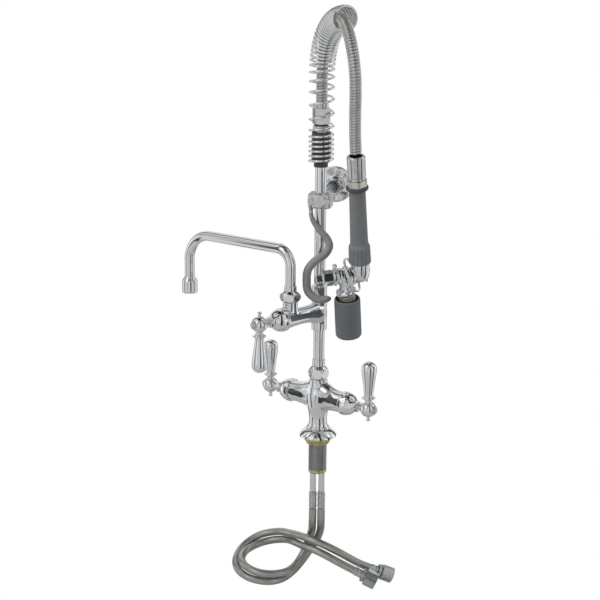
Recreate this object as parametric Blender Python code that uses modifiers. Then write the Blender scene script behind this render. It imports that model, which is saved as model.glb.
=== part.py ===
"""Deck-mounted pre-rinse faucet: mixing base, add-on faucet, riser, spring, hose and spray valve.

Lengths are millimetres and become metres where a shape is made. +Z is up, the deck's top is z = 0
and the riser stands on the Z axis. +X points to the cold lever and -Y is the front.
"""
import math

import bmesh
import bpy
from mathutils import Matrix, Vector

for old_object in list(bpy.data.objects):
    bpy.data.objects.remove(old_object, do_unlink=True)

MM = 0.001
GAP = 0.3           # clearance left between touching pieces
MERGE = 0.00001     # metres, for points that a screw brings together

# ---- driving dimensions -------------------------------------------------------------------------
PIPE_R = 8.55               # 3/8 inch riser pipe
PIPE_BORE_R = 6.4
PIPE_HOLE_R = PIPE_R + GAP  # holes that the riser passes through

FLANGE_R = 28.5
FLANGE_H = 12.0
COLUMN_R = 16.2
BODY_AXIS_Z = 61.0          # height of the cross arm with the two valves
BODY_TOP_Z = 90.0
LEVER_REACH = 95.0          # riser axis to the middle of a lever's hub
HUB_TO_SEAT = 38.0          # hub middle back to the end face of the arm
SHANK_R = 14.0
SHANK_BORE_R = 11.7
SHANK_END_Z = -59.0

ADDON_Z = 193.0
ADDON_HEADING = -98.5       # degrees from +X, seen from above
ADDON_REACH = 117.0         # riser axis to the middle of the third hub
SWIVEL_REACH = 58.0         # riser axis to the swing nozzle's axis
NOZZLE_R = 7.9
NOZZLE_RUN_Z = 294.0
NOZZLE_REACH = 203.0        # 8 inch swing nozzle
NOZZLE_END_Z = 207.0
OUTLET_END_Z = 200.0

CLAMP_Z = 362.0
CLAMP_H = 23.5
WALL_HEADING = 120.0        # direction from the riser to the wall
WALL_REACH = 152.0          # 6 inch bracket
ROD_R = 6.5

SPRING_Z = 419.0            # lowest coil
SPRING_R = 17.4             # helix radius at the middle of the wire
SPRING_WIRE_R = 2.1
ARCH_Z = 550.0              # height where the spring starts to bend
ARCH_R = 77.0
ARCH_HEADING = -27.6
HOSE_R = 8.5
HOSE_START_Z = 504.0
NUT_IN_SPRING_Z = 463.3

GRIP_FOOT = Vector((82.1, -10.0, 281.5))    # lower end of the grip, on its axis
GRIP_HEAD = Vector((98.3, -44.7, 437.2))    # a point higher on the same axis
BONNET_HEADING = 231.5

TUBE_HEADING = 39.5         # the two supply tubes stand side by side along this direction
TUBE_OFFSET = 6.5
TUBE_R = 4.7
TUBE_END_Z = -91.0
CRIMP_LENGTH = 28.0
SUPPLY_R = 6.0

# Routes of the free hoses. The points were chosen by hand; scene.py repeats them.
HOSE_ROUTE = (
    (0.0, 0.0, 504.3), (0.0, 0.0, 520.0), (0.0, 0.0, 535.0), (0.5, 0.0, 556.0),
    (5.5, -2.5, 581.5), (17.5, -9.0, 603.5), (34.5, -19.5, 619.0), (52.0, -31.0, 626.0),
    (69.0, -43.0, 626.0), (84.5, -55.0, 620.0), (97.5, -64.5, 608.5), (108.0, -71.5, 593.0),
    (114.5, -74.5, 574.5), (117.0, -74.0, 553.5), (114.5, -69.5, 531.0), (108.0, -61.0, 502.0),
    (102.0, -52.4, 470.0), (99.2, -46.6, 445.8),
)
SUPPLY_ROUTE_COLD = (
    (5.0, 4.1, -119.3), (4.9, 4.3, -130.0), (2.0, 8.0, -144.0), (-6.0, 17.0, -161.0),
    (-18.5, 25.5, -180.5), (-31.5, 24.5, -202.5), (-38.5, 11.5, -221.0), (-40.5, -7.0, -232.0),
    (-40.5, -36.5, -236.0), (-50.5, -57.5, -236.0), (-74.0, -71.5, -232.5), (-99.5, -69.5, -227.5),
    (-121.0, -52.0, -221.0), (-130.0, -24.0, -209.5), (-118.5, 0.5, -196.0), (-90.5, 13.0, -186.0),
    (-58.5, 8.5, -179.0), (-30.0, 0.0, -173.5), (-7.0, 1.5, -175.0), (13.5, 9.5, -181.5),
    (31.0, 20.0, -191.0), (46.0, 32.0, -202.0), (57.5, 42.5, -210.5), (66.0, 51.0, -215.5),
)
SUPPLY_ROUTE_HOT = (
    (-5.0, -4.1, -119.3), (-5.3, -3.8, -130.0), (-8.5, 0.0, -143.5), (-20.5, 13.0, -166.0),
    (-28.5, 15.0, -184.5), (-31.0, 7.5, -202.0), (-32.0, -9.0, -217.0), (-33.0, -29.0, -223.0),
    (-42.5, -51.0, -223.5), (-62.5, -66.0, -221.5), (-87.0, -67.0, -218.0),
    (-106.0, -55.5, -215.0), (-116.5, -33.5, -211.0), (-113.0, -8.5, -206.5), (-98.5, 8.5, -201.5),
    (-75.5, 15.0, -196.0), (-43.5, 2.5, -188.5), (-23.0, -3.5, -187.0), (-3.0, -2.0, -188.0),
    (16.5, 2.0, -193.0), (33.5, 8.5, -200.5), (47.0, 15.5, -207.5), (58.0, 21.5, -213.0),
)
HOOK_ROUTE = (
    (-4.8, -16.0, 357.0), (-4.8, -16.0, 347.0), (-2.0, -16.0, 335.5), (7.0, -12.0, 321.0),
    (18.5, -7.0, 308.0), (24.0, -8.0, 297.0), (21.5, -15.0, 286.0), (12.0, -27.0, 276.0),
    (6.0, -34.5, 264.0), (5.5, -37.0, 249.0), (9.5, -37.5, 231.5), (22.5, -30.0, 221.0),
    (37.5, -19.0, 223.0),
)
HOOK_RADII = (2.8, 3.2, 4.0, 4.8, 5.2, 5.4, 5.6, 5.8, 5.8, 5.8, 5.6, 5.2, 4.4)

# ---- collections and materials ------------------------------------------------------------------
parts = bpy.data.collections.new("pre_rinse_faucet")
helpers = bpy.data.collections.new("cutters")
bpy.context.scene.collection.children.link(parts)
bpy.context.scene.collection.children.link(helpers)

FINISHES = {
    "chrome": ((0.78, 0.79, 0.80), 0.10, 1.0),
    "satin_steel": ((0.55, 0.55, 0.53), 0.32, 1.0),
    "cast_alloy": ((0.60, 0.61, 0.61), 0.42, 1.0),
    "brass": ((0.58, 0.50, 0.22), 0.38, 1.0),
    "grey_rubber": ((0.165, 0.170, 0.175), 0.55, 0.0),
    "blue_grey_rubber": ((0.100, 0.112, 0.125), 0.50, 0.0),
    "grey_coating": ((0.235, 0.240, 0.235), 0.45, 0.0),
    "dark_polymer": ((0.045, 0.047, 0.050), 0.50, 0.0),
}


def material_for(node, finish):
    colour, roughness, metallic = FINISHES[finish]
    material = bpy.data.materials.new(node + "_" + finish)
    material.use_nodes = True
    shader = material.node_tree.nodes["Principled BSDF"]
    shader.inputs["Base Color"].default_value = (*colour, 1.0)
    shader.inputs["Roughness"].default_value = roughness
    shader.inputs["Metallic"].default_value = metallic
    return material


# ---- placing ------------------------------------------------------------------------------------
def direction(heading, rise=0.0):
    """Unit vector at a heading in degrees from +X, rising by so many degrees."""
    turn, up = math.radians(heading), math.radians(rise)
    return Vector((math.cos(turn) * math.cos(up), math.sin(turn) * math.cos(up), math.sin(up)))


def place(origin, up=(0, 0, 1), side=(1, 0, 0)):
    """Matrix of a frame at origin (mm) with its Z along up and its X near side."""
    z = Vector(up).normalized()
    x = Vector(side) - Vector(side).dot(z) * z
    if x.length < 0.01:
        x = Vector((0, 1, 0)) - Vector((0, 1, 0)).dot(z) * z
    x.normalize()
    matrix = Matrix((x, z.cross(x), z)).transposed().to_4x4()
    matrix.translation = Vector(origin) * MM
    return matrix


def finish_object(thing, finish, smooth_angle=35):
    """Puts a piece in the collection with its material, or among the cutters without one."""
    if finish is None:
        helpers.objects.link(thing)
        thing.hide_render = True
        thing.display_type = 'WIRE'
        return thing
    parts.objects.link(thing)
    thing.data.materials.append(material_for(thing.name, finish))
    if thing.type == 'MESH':
        thing.data.shade_smooth()
        thing.data.set_sharp_from_angle(angle=math.radians(smooth_angle))
    return thing


def turned(name, profile, where, finish, segments=16, closed=False):
    """Body of revolution about the frame's Z. The profile runs down its outer side."""
    shape = bmesh.new()
    points = [shape.verts.new((radius * MM, 0, height * MM)) for radius, height in profile]
    for first, second in zip(points, points[1:]):
        shape.edges.new((first, second))
    if closed:
        shape.edges.new((points[-1], points[0]))
    mesh = bpy.data.meshes.new(name)
    shape.to_mesh(mesh)
    shape.free()
    thing = bpy.data.objects.new(name, mesh)
    thing.matrix_world = where
    screw = thing.modifiers.new("turn", 'SCREW')
    screw.axis = 'Z'
    screw.steps = screw.render_steps = segments
    screw.use_merge_vertices = True
    screw.merge_threshold = MERGE
    return finish_object(thing, finish)


def rod(name, where, radius, low, high, finish, segments=16):
    """Solid cylinder along the frame's Z from low to high."""
    profile = ((0, high), (radius, high), (radius, low), (0, low))
    return turned(name, profile, where, finish, segments)


def ring(name, where, outer, inner, low, high, finish, segments=16):
    """Plain bush: a cylinder with a through bore."""
    profile = ((outer, high), (outer, low), (inner, low), (inner, high))
    return turned(name, profile, where, finish, segments, closed=True)


def prism(name, where, across_flats, low, high, finish, sides=6):
    """Polygonal bar along the frame's Z."""
    shape = bmesh.new()
    corner = across_flats / 2 / math.cos(math.pi / sides)
    bmesh.ops.create_cone(shape, cap_ends=True, segments=sides, radius1=corner * MM,
                          radius2=corner * MM, depth=(high - low) * MM,
                          matrix=Matrix.Translation((0, 0, (high + low) / 2 * MM)))
    mesh = bpy.data.meshes.new(name)
    shape.to_mesh(mesh)
    shape.free()
    thing = bpy.data.objects.new(name, mesh)
    thing.matrix_world = where
    return finish_object(thing, finish)


def block(name, where, low, high, finish, rounding=0.0):
    """Box between two corners of a frame, with rounded edges where asked."""
    shape = bmesh.new()
    size = [high[i] - low[i] for i in range(3)]
    middle = [(high[i] + low[i]) / 2 * MM for i in range(3)]
    scale = Matrix.Diagonal((size[0] * MM, size[1] * MM, size[2] * MM, 1.0))
    bmesh.ops.create_cube(shape, size=1.0, matrix=Matrix.Translation(middle) @ scale)
    mesh = bpy.data.meshes.new(name)
    shape.to_mesh(mesh)
    shape.free()
    thing = bpy.data.objects.new(name, mesh)
    thing.matrix_world = where
    if rounding:
        bevel = thing.modifiers.new("round", 'BEVEL')
        bevel.width = rounding * MM
        bevel.segments = 2
    return finish_object(thing, finish)


def combine(thing, operation, others):
    """Adds Boolean modifiers, one for each of the other objects."""
    for other in others:
        boolean = thing.modifiers.new(operation.lower(), 'BOOLEAN')
        boolean.operation = operation
        boolean.object = other
    return thing


def smooth_route(points, spacing):
    """Points about evenly spaced on a centripetal Catmull-Rom curve through the given ones."""
    knots = [Vector(p) for p in points]
    knots = [2 * knots[0] - knots[1]] + knots + [2 * knots[-1] - knots[-2]]
    fine = []
    for i in range(1, len(knots) - 2):
        p0, p1, p2, p3 = knots[i - 1:i + 3]
        t1 = (p1 - p0).length ** 0.5
        t2 = t1 + (p2 - p1).length ** 0.5
        t3 = t2 + (p3 - p2).length ** 0.5
        for step in range(24):
            t = t1 + (t2 - t1) * step / 24
            a1 = p0 * ((t1 - t) / t1) + p1 * (t / t1)
            a2 = p1 * ((t2 - t) / (t2 - t1)) + p2 * ((t - t1) / (t2 - t1))
            a3 = p2 * ((t3 - t) / (t3 - t2)) + p3 * ((t - t2) / (t3 - t2))
            b1 = a1 * ((t2 - t) / t2) + a2 * (t / t2)
            b2 = a2 * ((t3 - t) / (t3 - t1)) + a3 * ((t - t1) / (t3 - t1))
            fine.append(b1 * ((t2 - t) / (t2 - t1)) + b2 * ((t - t1) / (t2 - t1)))
    fine.append(knots[-2])
    travelled = [0.0]
    for first, second in zip(fine, fine[1:]):
        travelled.append(travelled[-1] + (second - first).length)
    count = max(2, round(travelled[-1] / spacing))
    result, index = [], 0
    for step in range(count + 1):
        target = travelled[-1] * step / count
        while index < len(fine) - 2 and travelled[index + 1] < target:
            index += 1
        share = (target - travelled[index]) / (travelled[index + 1] - travelled[index])
        result.append(fine[index].lerp(fine[index + 1], share))
    return result


def wire(name, points, radius, finish, resolution=2, radii=None, cyclic=False):
    """Round bar along a polyline."""
    data = bpy.data.curves.new(name, 'CURVE')
    data.dimensions = '3D'
    data.bevel_depth = radius * MM
    data.bevel_resolution = resolution
    data.resolution_u = 1
    data.render_resolution_u = 0
    data.use_fill_caps = True
    spline = data.splines.new('POLY')
    spline.points.add(len(points) - 1)
    for i, point in enumerate(points):
        spline.points[i].co = (*(Vector(point) * MM), 1.0)
        spline.points[i].radius = radii[i] if radii else 1.0
    spline.use_cyclic_u = cyclic
    return finish_object(bpy.data.objects.new(name, data), finish)


def arc(centre, start, normal, degrees, steps):
    """Points of an arc that starts at start and turns about normal through centre."""
    centre, offset = Vector(centre), Vector(start) - Vector(centre)
    return [centre + Matrix.Rotation(math.radians(degrees * i / steps), 3, Vector(normal)) @ offset
            for i in range(steps + 1)]


def pivot(name, origin, children):
    """Empty on a joint's axis, with the pieces that move about it as its children."""
    empty = bpy.data.objects.new(name, None)
    empty.location = Vector(origin) * MM
    parts.objects.link(empty)
    bpy.context.view_layer.update()
    for child in children:
        child.parent = empty
        child.matrix_parent_inverse = empty.matrix_world.inverted()


def domed_nut(name, where, across_flats, low, high, bore, finish):
    """Hexagon nut whose corners are turned down to a dome."""
    half, middle = (high - low) / 2, (high + low) / 2
    corner = across_flats / 2 / math.cos(math.pi / 6)
    dome = [(0, high + 0.5), (corner * 0.80, high + 0.5), (corner * 0.93, middle + half * 0.55),
            (corner * 0.985, middle), (corner * 0.93, middle - half * 0.60),
            (corner * 0.86, low - 0.5), (0, low - 0.5)]
    nut = prism(name, where, across_flats, low, high, finish)
    combine(nut, 'INTERSECT', [turned(name + "_dome", dome, where, None, 18)])
    return combine(nut, 'DIFFERENCE', [rod(name + "_bore", where, bore, low - 2, high + 2, None)])


# ---- base: flange, shank, body ------------------------------------------------------------------
UPRIGHT = place((0, 0, 0))
deck_flange = turned("deck_flange", (
    (17.6, FLANGE_H), (20.2, 10.9), (23.6, 8.4), (26.4, 5.4), (28.0, 3.0), (FLANGE_R, 1.6),
    (FLANGE_R, 0), (22.5, 0), (22.5, 1.6), (14.6, 1.6), (14.6, FLANGE_H)),
    UPRIGHT, "chrome", 24, closed=True)
lock_nut = turned("lock_nut", (
    (21.3, -2.6), (21.3, -5.2), (18.4, -9.0), (16.4, -12.6), (SHANK_R + GAP, -12.6),
    (SHANK_R + GAP, -2.6)), UPRIGHT, "brass", 20, closed=True)
mounting_shank = turned("mounting_shank", (
    (SHANK_R, 21.5), (SHANK_R, SHANK_END_Z + 1.2), (SHANK_R - 1.0, SHANK_END_Z),
    (SHANK_BORE_R, SHANK_END_Z), (SHANK_BORE_R, 21.5)), UPRIGHT, "satin_steel", 20, closed=True)

ALONG_X = place((0, 0, BODY_AXIS_Z), (1, 0, 0), (0, 0, 1))
SEAT_X = LEVER_REACH - HUB_TO_SEAT
base_body = turned("base_body", (
    (0, BODY_TOP_Z), (13.4, BODY_TOP_Z), (13.4, 84), (14.4, 78), (16.6, 70), (17.6, 61),
    (16.8, 48), (COLUMN_R, 38), (COLUMN_R, FLANGE_H + GAP), (0, FLANGE_H + GAP)),
    UPRIGHT, "chrome", 20)
cross_arm = turned("cross_arm", (
    (0, SEAT_X), (16.8, SEAT_X), (16.8, 44), (15.6, 26), (15.2, 0), (15.6, -26), (16.8, -44),
    (16.8, -SEAT_X), (0, -SEAT_X)), ALONG_X, None, 20)
TUBE_SPOTS = {"cold": direction(TUBE_HEADING) * TUBE_OFFSET,
              "hot": direction(TUBE_HEADING + 180) * TUBE_OFFSET}
combine(base_body, 'UNION', [cross_arm])
combine(base_body, 'DIFFERENCE', [
    rod("shank_socket", UPRIGHT, SHANK_R + GAP, 0, 22, None, 20),
    rod("riser_socket", UPRIGHT, PIPE_HOLE_R, 75, BODY_TOP_Z + 5, None),
    rod("cold_seat", ALONG_X, 10.3, 31, SEAT_X + 5, None),
    rod("hot_seat", ALONG_X, 10.3, -SEAT_X - 5, -31, None)]
    + [rod(f"tube_way_{side}", place(spot), TUBE_R + GAP, 15, 42, None, 12)
       for side, spot in TUBE_SPOTS.items()])


# ---- the three valves ---------------------------------------------------------------------------
def sphere_profile(radius, top, bottom, steps):
    """Profile points on a sphere between two heights, top to bottom."""
    first, last = math.asin(top / radius), math.asin(bottom / radius)
    return [(radius * math.cos(first + (last - first) * i / steps),
             radius * math.sin(first + (last - first) * i / steps)) for i in range(steps + 1)]


HUB_R = 12.2
LEVER_PROFILE = (
    [(0, 72.5), (4.6, 71.6), (8.6, 69.0), (11.0, 64.6), (11.5, 59.5), (10.6, 51.0), (8.7, 37.0),
     (7.0, 24.0), (6.7, 20.0), (10.0, 18.2), (10.0, 16.4), (6.6, 14.6), (5.6, 13.0)]
    + sphere_profile(HUB_R, 10.8, -11.9, 5)
    + [(2.2, -13.6), (2.4, -15.0), (3.3, -16.4), (2.6, -18.2), (0, -19.0)])


def valve(side, hub, outward, handle):
    """Cartridge, bonnet, stem, lever and index button, out along one valve's axis."""
    outward = Vector(outward)
    along = place(hub, outward, handle)
    cartridge = rod(f"cartridge_{side}", along, 9.9, -62.5, -HUB_TO_SEAT - GAP, "brass", 16)
    combine(cartridge, 'DIFFERENCE',
            [rod(f"cartridge_bore_{side}", along, 5.4, -52.0, -30, None, 12)])
    turned(f"bonnet_{side}", (
        (7.0, -18.4), (7.6, -22.0), (8.8, -24.8), (12.4, -27.2), (15.6, -30.4), (16.7, -33.0),
        (16.7, -36.0), (15.2, -HUB_TO_SEAT + GAP), (5.4, -HUB_TO_SEAT + GAP), (5.4, -18.4)),
        along, "chrome", 16, closed=True)
    stem = rod(f"stem_{side}", along, 5.0, -51.5, -5.3, "chrome", 16)
    lever = turned(f"lever_{side}", LEVER_PROFILE, place(hub, handle, outward), "chrome", 12)
    combine(lever, 'DIFFERENCE', [
        rod(f"stem_hole_{side}", along, 5.0 + GAP, -16, -5, None, 16),
        rod(f"button_recess_{side}", along, 6.6, 9.4, 16, None, 16)])
    button = turned(f"index_{side}", ((0, 11.9), (4.6, 11.6), (6.2, 10.8), (6.2, 9.7), (0, 9.7)),
                    along, "satin_steel", 16)
    pivot(f"pivot_{side}", hub, [stem, lever, button])


ADDON_OUT = direction(ADDON_HEADING)
valve("cold", (LEVER_REACH, 0, BODY_AXIS_Z), (1, 0, 0), (0, 0, 1))
valve("hot", (-LEVER_REACH, 0, BODY_AXIS_Z), (-1, 0, 0), (0, 0, 1))
valve("addon", ADDON_OUT * ADDON_REACH + Vector((0, 0, ADDON_Z)), ADDON_OUT, (0, 0, -1))

# ---- riser and add-on faucet --------------------------------------------------------------------
domed_nut("riser_nut", UPRIGHT, 27.6, BODY_TOP_Z + GAP, 109.5, PIPE_HOLE_R, "chrome")
ring("riser_collar", UPRIGHT, 10.0, PIPE_HOLE_R, 109.8, 120.3, "chrome")
ring("lower_riser", UPRIGHT, PIPE_R, PIPE_BORE_R, 75.5, ADDON_Z + 6.7, "chrome")
ring("upper_riser", UPRIGHT, PIPE_R, PIPE_BORE_R, ADDON_Z + 7.3, NUT_IN_SPRING_Z - GAP, "chrome")

ADDON_LINE = place((0, 0, ADDON_Z), ADDON_OUT, (0, 0, 1))
ADDON_SEAT = ADDON_REACH - HUB_TO_SEAT
SWIVEL = ADDON_OUT * SWIVEL_REACH
SWIVEL_AXIS = place(SWIVEL)
NECK_TOP_Z = 218.0
addon_body = rod("addon_body", UPRIGHT, 11.6, 166, 234, "chrome")
combine(addon_body, 'UNION', [
    turned("addon_arm", ((0, ADDON_SEAT), (16.8, ADDON_SEAT), (16.8, 70), (14.4, 50), (11.2, 22),
                         (10.4, 5.3), (0, 5.3)), ADDON_LINE, None, 18),
    rod("addon_neck", SWIVEL_AXIS, 11.4, ADDON_Z + 4.1, NECK_TOP_Z, None)])
combine(addon_body, 'DIFFERENCE', [
    rod("addon_riser_way", UPRIGHT, PIPE_HOLE_R, 160, 240, None),
    rod("addon_seat", ADDON_LINE, 10.3, ADDON_SEAT - 25.5, ADDON_SEAT + 5, None),
    rod("nozzle_socket", SWIVEL_AXIS, 9.0, 205.5, NECK_TOP_Z + 5, None)])
domed_nut("nozzle_nut", SWIVEL_AXIS, 27.4, NECK_TOP_Z + GAP, 233.6, NOZZLE_R + GAP, "chrome")

LEG_BEND_R = 24.0
OUTLET_BEND_R = 42.0
run = SWIVEL + Vector((0, 0, NOZZLE_RUN_Z))
leg_bend = arc(run + Vector((-LEG_BEND_R, 0, -LEG_BEND_R)), run + Vector((0, 0, -LEG_BEND_R)),
               (0, -1, 0), 90, 6)
far = run + Vector((-NOZZLE_REACH, 0, 0))
outlet_bend = arc(far + Vector((OUTLET_BEND_R, 0, -OUTLET_BEND_R)),
                  far + Vector((OUTLET_BEND_R, 0, 0)), (0, -1, 0), 90, 8)
nozzle_path = ([SWIVEL + Vector((0, 0, NOZZLE_END_Z))] + leg_bend + outlet_bend
               + [far + Vector((0, 0, NOZZLE_END_Z - NOZZLE_RUN_Z))])
swing_nozzle = wire("swing_nozzle", nozzle_path, NOZZLE_R, "chrome", 4)
nozzle_ferrule = ring("nozzle_ferrule", SWIVEL_AXIS, 9.4, NOZZLE_R + GAP, 233.9, 241.3, "chrome")
outlet_tip = turned("outlet_tip", (
    (8.4, 225.0), (9.2, 223.6), (11.6, 219.6), (12.3, 217.6), (12.3, 216.4), (11.9, OUTLET_END_Z),
    (10.2, OUTLET_END_Z), (10.2, 213.0), (NOZZLE_R + GAP, 216.0), (NOZZLE_R + GAP, 225.0)),
    place(SWIVEL + Vector((-NOZZLE_REACH, 0, 0))), "chrome", 16, closed=True)
pivot("pivot_nozzle", SWIVEL, [swing_nozzle, nozzle_ferrule, outlet_tip])

# ---- wall bracket and finger hook ---------------------------------------------------------------
WALL_OUT = direction(WALL_HEADING)
CLAMP_FRAME = place((0, 0, CLAMP_Z), WALL_OUT, (0, 0, 1))
CLAMP_HALF_H, CLAMP_HALF_W, CLAMP_DEPTH = CLAMP_H / 2, 17.5, 14.0
SCREW_SIDE = 12.6
clamp_bore = rod("clamp_riser_way", UPRIGHT, PIPE_HOLE_R, CLAMP_Z - 30, CLAMP_Z + 30, None)
screw_frames = {side: place(Vector((0, 0, CLAMP_Z)) + WALL_OUT.cross(Vector((0, 0, 1))) * offset,
                            WALL_OUT, (0, 0, 1))
                for side, offset in (("right", SCREW_SIDE), ("left", -SCREW_SIDE))}
screw_ways = [rod(f"clamp_screw_way_{side}", where, 2.5, -20, 10.3, None, 12)
              for side, where in screw_frames.items()]
clamp_front = block("clamp_front", CLAMP_FRAME, (-CLAMP_HALF_H, -CLAMP_HALF_W, -CLAMP_DEPTH),
                    (CLAMP_HALF_H, CLAMP_HALF_W, -0.4), "cast_alloy", 2.6)
combine(clamp_front, 'DIFFERENCE', [clamp_bore] + screw_ways + [
    rod("hook_socket", place((HOOK_ROUTE[0][0], HOOK_ROUTE[0][1], 0)), 3.5, 340, 357.6, None, 12)])
clamp_back = block("clamp_back", CLAMP_FRAME, (-CLAMP_HALF_H, -CLAMP_HALF_W, 0.4),
                   (CLAMP_HALF_H, CLAMP_HALF_W, CLAMP_DEPTH), "cast_alloy", 2.6)
combine(clamp_back, 'UNION', [rod("clamp_boss", CLAMP_FRAME, 10.0, 11, 27, None)])
combine(clamp_back, 'DIFFERENCE', [clamp_bore] + screw_ways + [
    rod("rod_socket", CLAMP_FRAME, ROD_R + GAP, 13.5, 30, None)])
for side, where in screw_frames.items():
    turned(f"clamp_screw_{side}", (
        (0, 10.0), (2.2, 10.0), (2.2, -CLAMP_DEPTH - GAP), (4.1, -CLAMP_DEPTH - GAP),
        (4.1, -16.4), (2.6, -17.6), (0, -17.6)), where, "satin_steel", 12)
rod("bracket_rod", CLAMP_FRAME, ROD_R, 13.8, WALL_REACH - 6.5, "satin_steel", 16)
turned("wall_flange", (
    (0, WALL_REACH), (28.6, WALL_REACH), (28.6, WALL_REACH - 3.4), (27.4, WALL_REACH - 5.0),
    (14.0, WALL_REACH - 6.0), (11.2, WALL_REACH - 8.5), (10.6, WALL_REACH - 20.0),
    (ROD_R + GAP, WALL_REACH - 20.0), (ROD_R + GAP, WALL_REACH - 6.2), (0, WALL_REACH - 6.2)),
    CLAMP_FRAME, "chrome", 24)

hook_path = smooth_route(HOOK_ROUTE, 8.0)
hook_radii = [HOOK_RADII[min(len(HOOK_RADII) - 1,
                             round(i * (len(HOOK_RADII) - 1) / (len(hook_path) - 1)))]
              for i in range(len(hook_path))]
wire("finger_hook", hook_path, 1.0, "grey_coating", 2, hook_radii)

# ---- spring, its seat and the hose --------------------------------------------------------------
turned("spring_seat", ((13.8, 462), (13.8, 418.6), (9.9, 417.6), (9.9, 411), (PIPE_HOLE_R, 411),
                       (PIPE_HOLE_R, 462)), UPRIGHT, "dark_polymer", 16, closed=True)
hose_inlet_nut = prism("hose_inlet_nut", UPRIGHT, 23.6, NUT_IN_SPRING_Z, HOSE_START_Z - GAP,
                       "satin_steel")
combine(hose_inlet_nut, 'DIFFERENCE', [rod("inlet_way", UPRIGHT, 6.0, 455, 510, None, 16)])

ARCH_OUT = direction(ARCH_HEADING)
ARCH_SIDE = Vector((0, 0, 1)).cross(ARCH_OUT)
ARCH_START = ARCH_Z - SPRING_Z
ARCH_LENGTH = ARCH_R * math.pi / 2
SPRING_LENGTH = ARCH_START + ARCH_LENGTH + 3.0


def spring_turns(travel):
    """Turns of the coil made by the time it has gone so far along its centre line."""
    closed_low, closed_high = 44.0, 118.0
    low_pitch, open_pitch, arch_pitch = 7.2, 18.0, 5.85
    turns = min(travel, closed_low) / low_pitch
    turns += max(0.0, min(travel, closed_high) - closed_low) / open_pitch
    return turns + max(0.0, travel - closed_high) / arch_pitch


def spring_centre(travel):
    """Centre line point, its outward side and its binormal, at so many mm along."""
    if travel <= ARCH_START:
        return Vector((0, 0, SPRING_Z + travel)), ARCH_OUT, ARCH_SIDE
    bend = (travel - ARCH_START) / ARCH_R
    bend = min(bend, math.pi / 2)
    extra = travel - ARCH_START - bend * ARCH_R
    centre = (ARCH_OUT * (ARCH_R * (1 - math.cos(bend)) + extra)
              + Vector((0, 0, ARCH_Z + ARCH_R * math.sin(bend))))
    outward = ARCH_OUT * math.cos(bend) - Vector((0, 0, 1)) * math.sin(bend)
    return centre, outward, ARCH_SIDE


def spring_path(points_per_turn):
    """Helix wound round the centre line, with even steps of angle."""
    path, travel, target = [], 0.0, 0.0
    step = 0.02
    total = spring_turns(SPRING_LENGTH)
    while target <= total:
        while spring_turns(travel) < target:
            travel += step
        angle = 2 * math.pi * target + math.radians(200)
        centre, outward, binormal = spring_centre(travel)
        path.append(centre + (outward * math.cos(angle) + binormal * math.sin(angle)) * SPRING_R)
        target += 1 / points_per_turn
    return path


wire("spring", spring_path(10), SPRING_WIRE_R, "chrome", 0)
wire("flexible_hose", smooth_route(HOSE_ROUTE, 22.0), HOSE_R, "satin_steel", 2)

# ---- grip and spray valve -----------------------------------------------------------------------
GRIP_UP = (GRIP_HEAD - GRIP_FOOT).normalized()
BONNET_OUT = direction(BONNET_HEADING)
BONNET_OUT = (BONNET_OUT - BONNET_OUT.dot(GRIP_UP) * GRIP_UP).normalized()
VIEW_SIDE = GRIP_UP.cross(BONNET_OUT)       # completes the frame: bonnet, side, up


def spot(out, side, up):
    """Point in the spray valve's frame, in mm."""
    return GRIP_FOOT + BONNET_OUT * out + VIEW_SIDE * side + GRIP_UP * up


GRIP_LINE = place(GRIP_FOOT, GRIP_UP, BONNET_OUT)
hose_outlet_nut = turned("hose_outlet_nut", (
    (0, 148.0), (9.2, 148.0), (9.2, 164.5), (11.6, 164.5), (13.2, 162.0), (13.2, 133.0),
    (13.9, 131.0), (13.9, 119.6), (9.2, 119.6), (9.2, 108.0), (0, 108.0)), GRIP_LINE,
    "satin_steel", 18)
turned("hose_washer", ((12.0, 119.2), (15.2, 118.6), (16.2, 116.4), (15.2, 114.2), (12.0, 113.4),
                       (9.6, 113.4), (9.6, 119.2)), GRIP_LINE, "dark_polymer", 16, closed=True)
grip = turned("grip", (
    (0, 113.0), (10.6, 113.0), (11.6, 111.8), (11.9, 96.0), (12.6, 60.0), (13.0, 31.0),
    (15.2, 27.0), (15.7, 22.0), (16.1, 2.0), (14.6, 0), (0, 0)), GRIP_LINE, "grey_rubber", 18)
combine(grip, 'DIFFERENCE', [rod("grip_top_way", GRIP_LINE, 9.6, 107.5, 120, None, 18),
                             rod("grip_foot_way", GRIP_LINE, 9.8, -5, 10.0, None, 18)])

BARREL_G = -18.0            # height of the bonnet's axis on the grip's own scale
HEAD_OUT = 21.0             # grip axis to the spray head's axis
LEVER_OUT = -2.0            # grip axis to the middle plane of the squeeze lever
BARREL_LINE = place(spot(0, 0, BARREL_G), BONNET_OUT, GRIP_UP)
HEAD_LINE = place(spot(HEAD_OUT, 0, 0), GRIP_UP, BONNET_OUT)
PLUNGER_LINE = place(spot(LEVER_OUT, 0, BARREL_G), -VIEW_SIDE, GRIP_UP)
PIN_SIDE, PIN_G = -21.0, -31.0
EAR_GAP, EAR_THICK = 6.5, 3.2   # half the gap between the ears, and each ear's thickness
VALVE_BLOCK = place(GRIP_FOOT, GRIP_UP, BONNET_OUT)
valve_body = turned("valve_body", (
    (0, 9.6), (9.4, 9.6), (9.4, -0.8), (12.4, -1.6), (13.6, -8.0), (13.8, -16.0), (11.6, -24.0),
    (6.6, -29.4), (0, -31.0)), GRIP_LINE, "chrome", 18)
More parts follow.
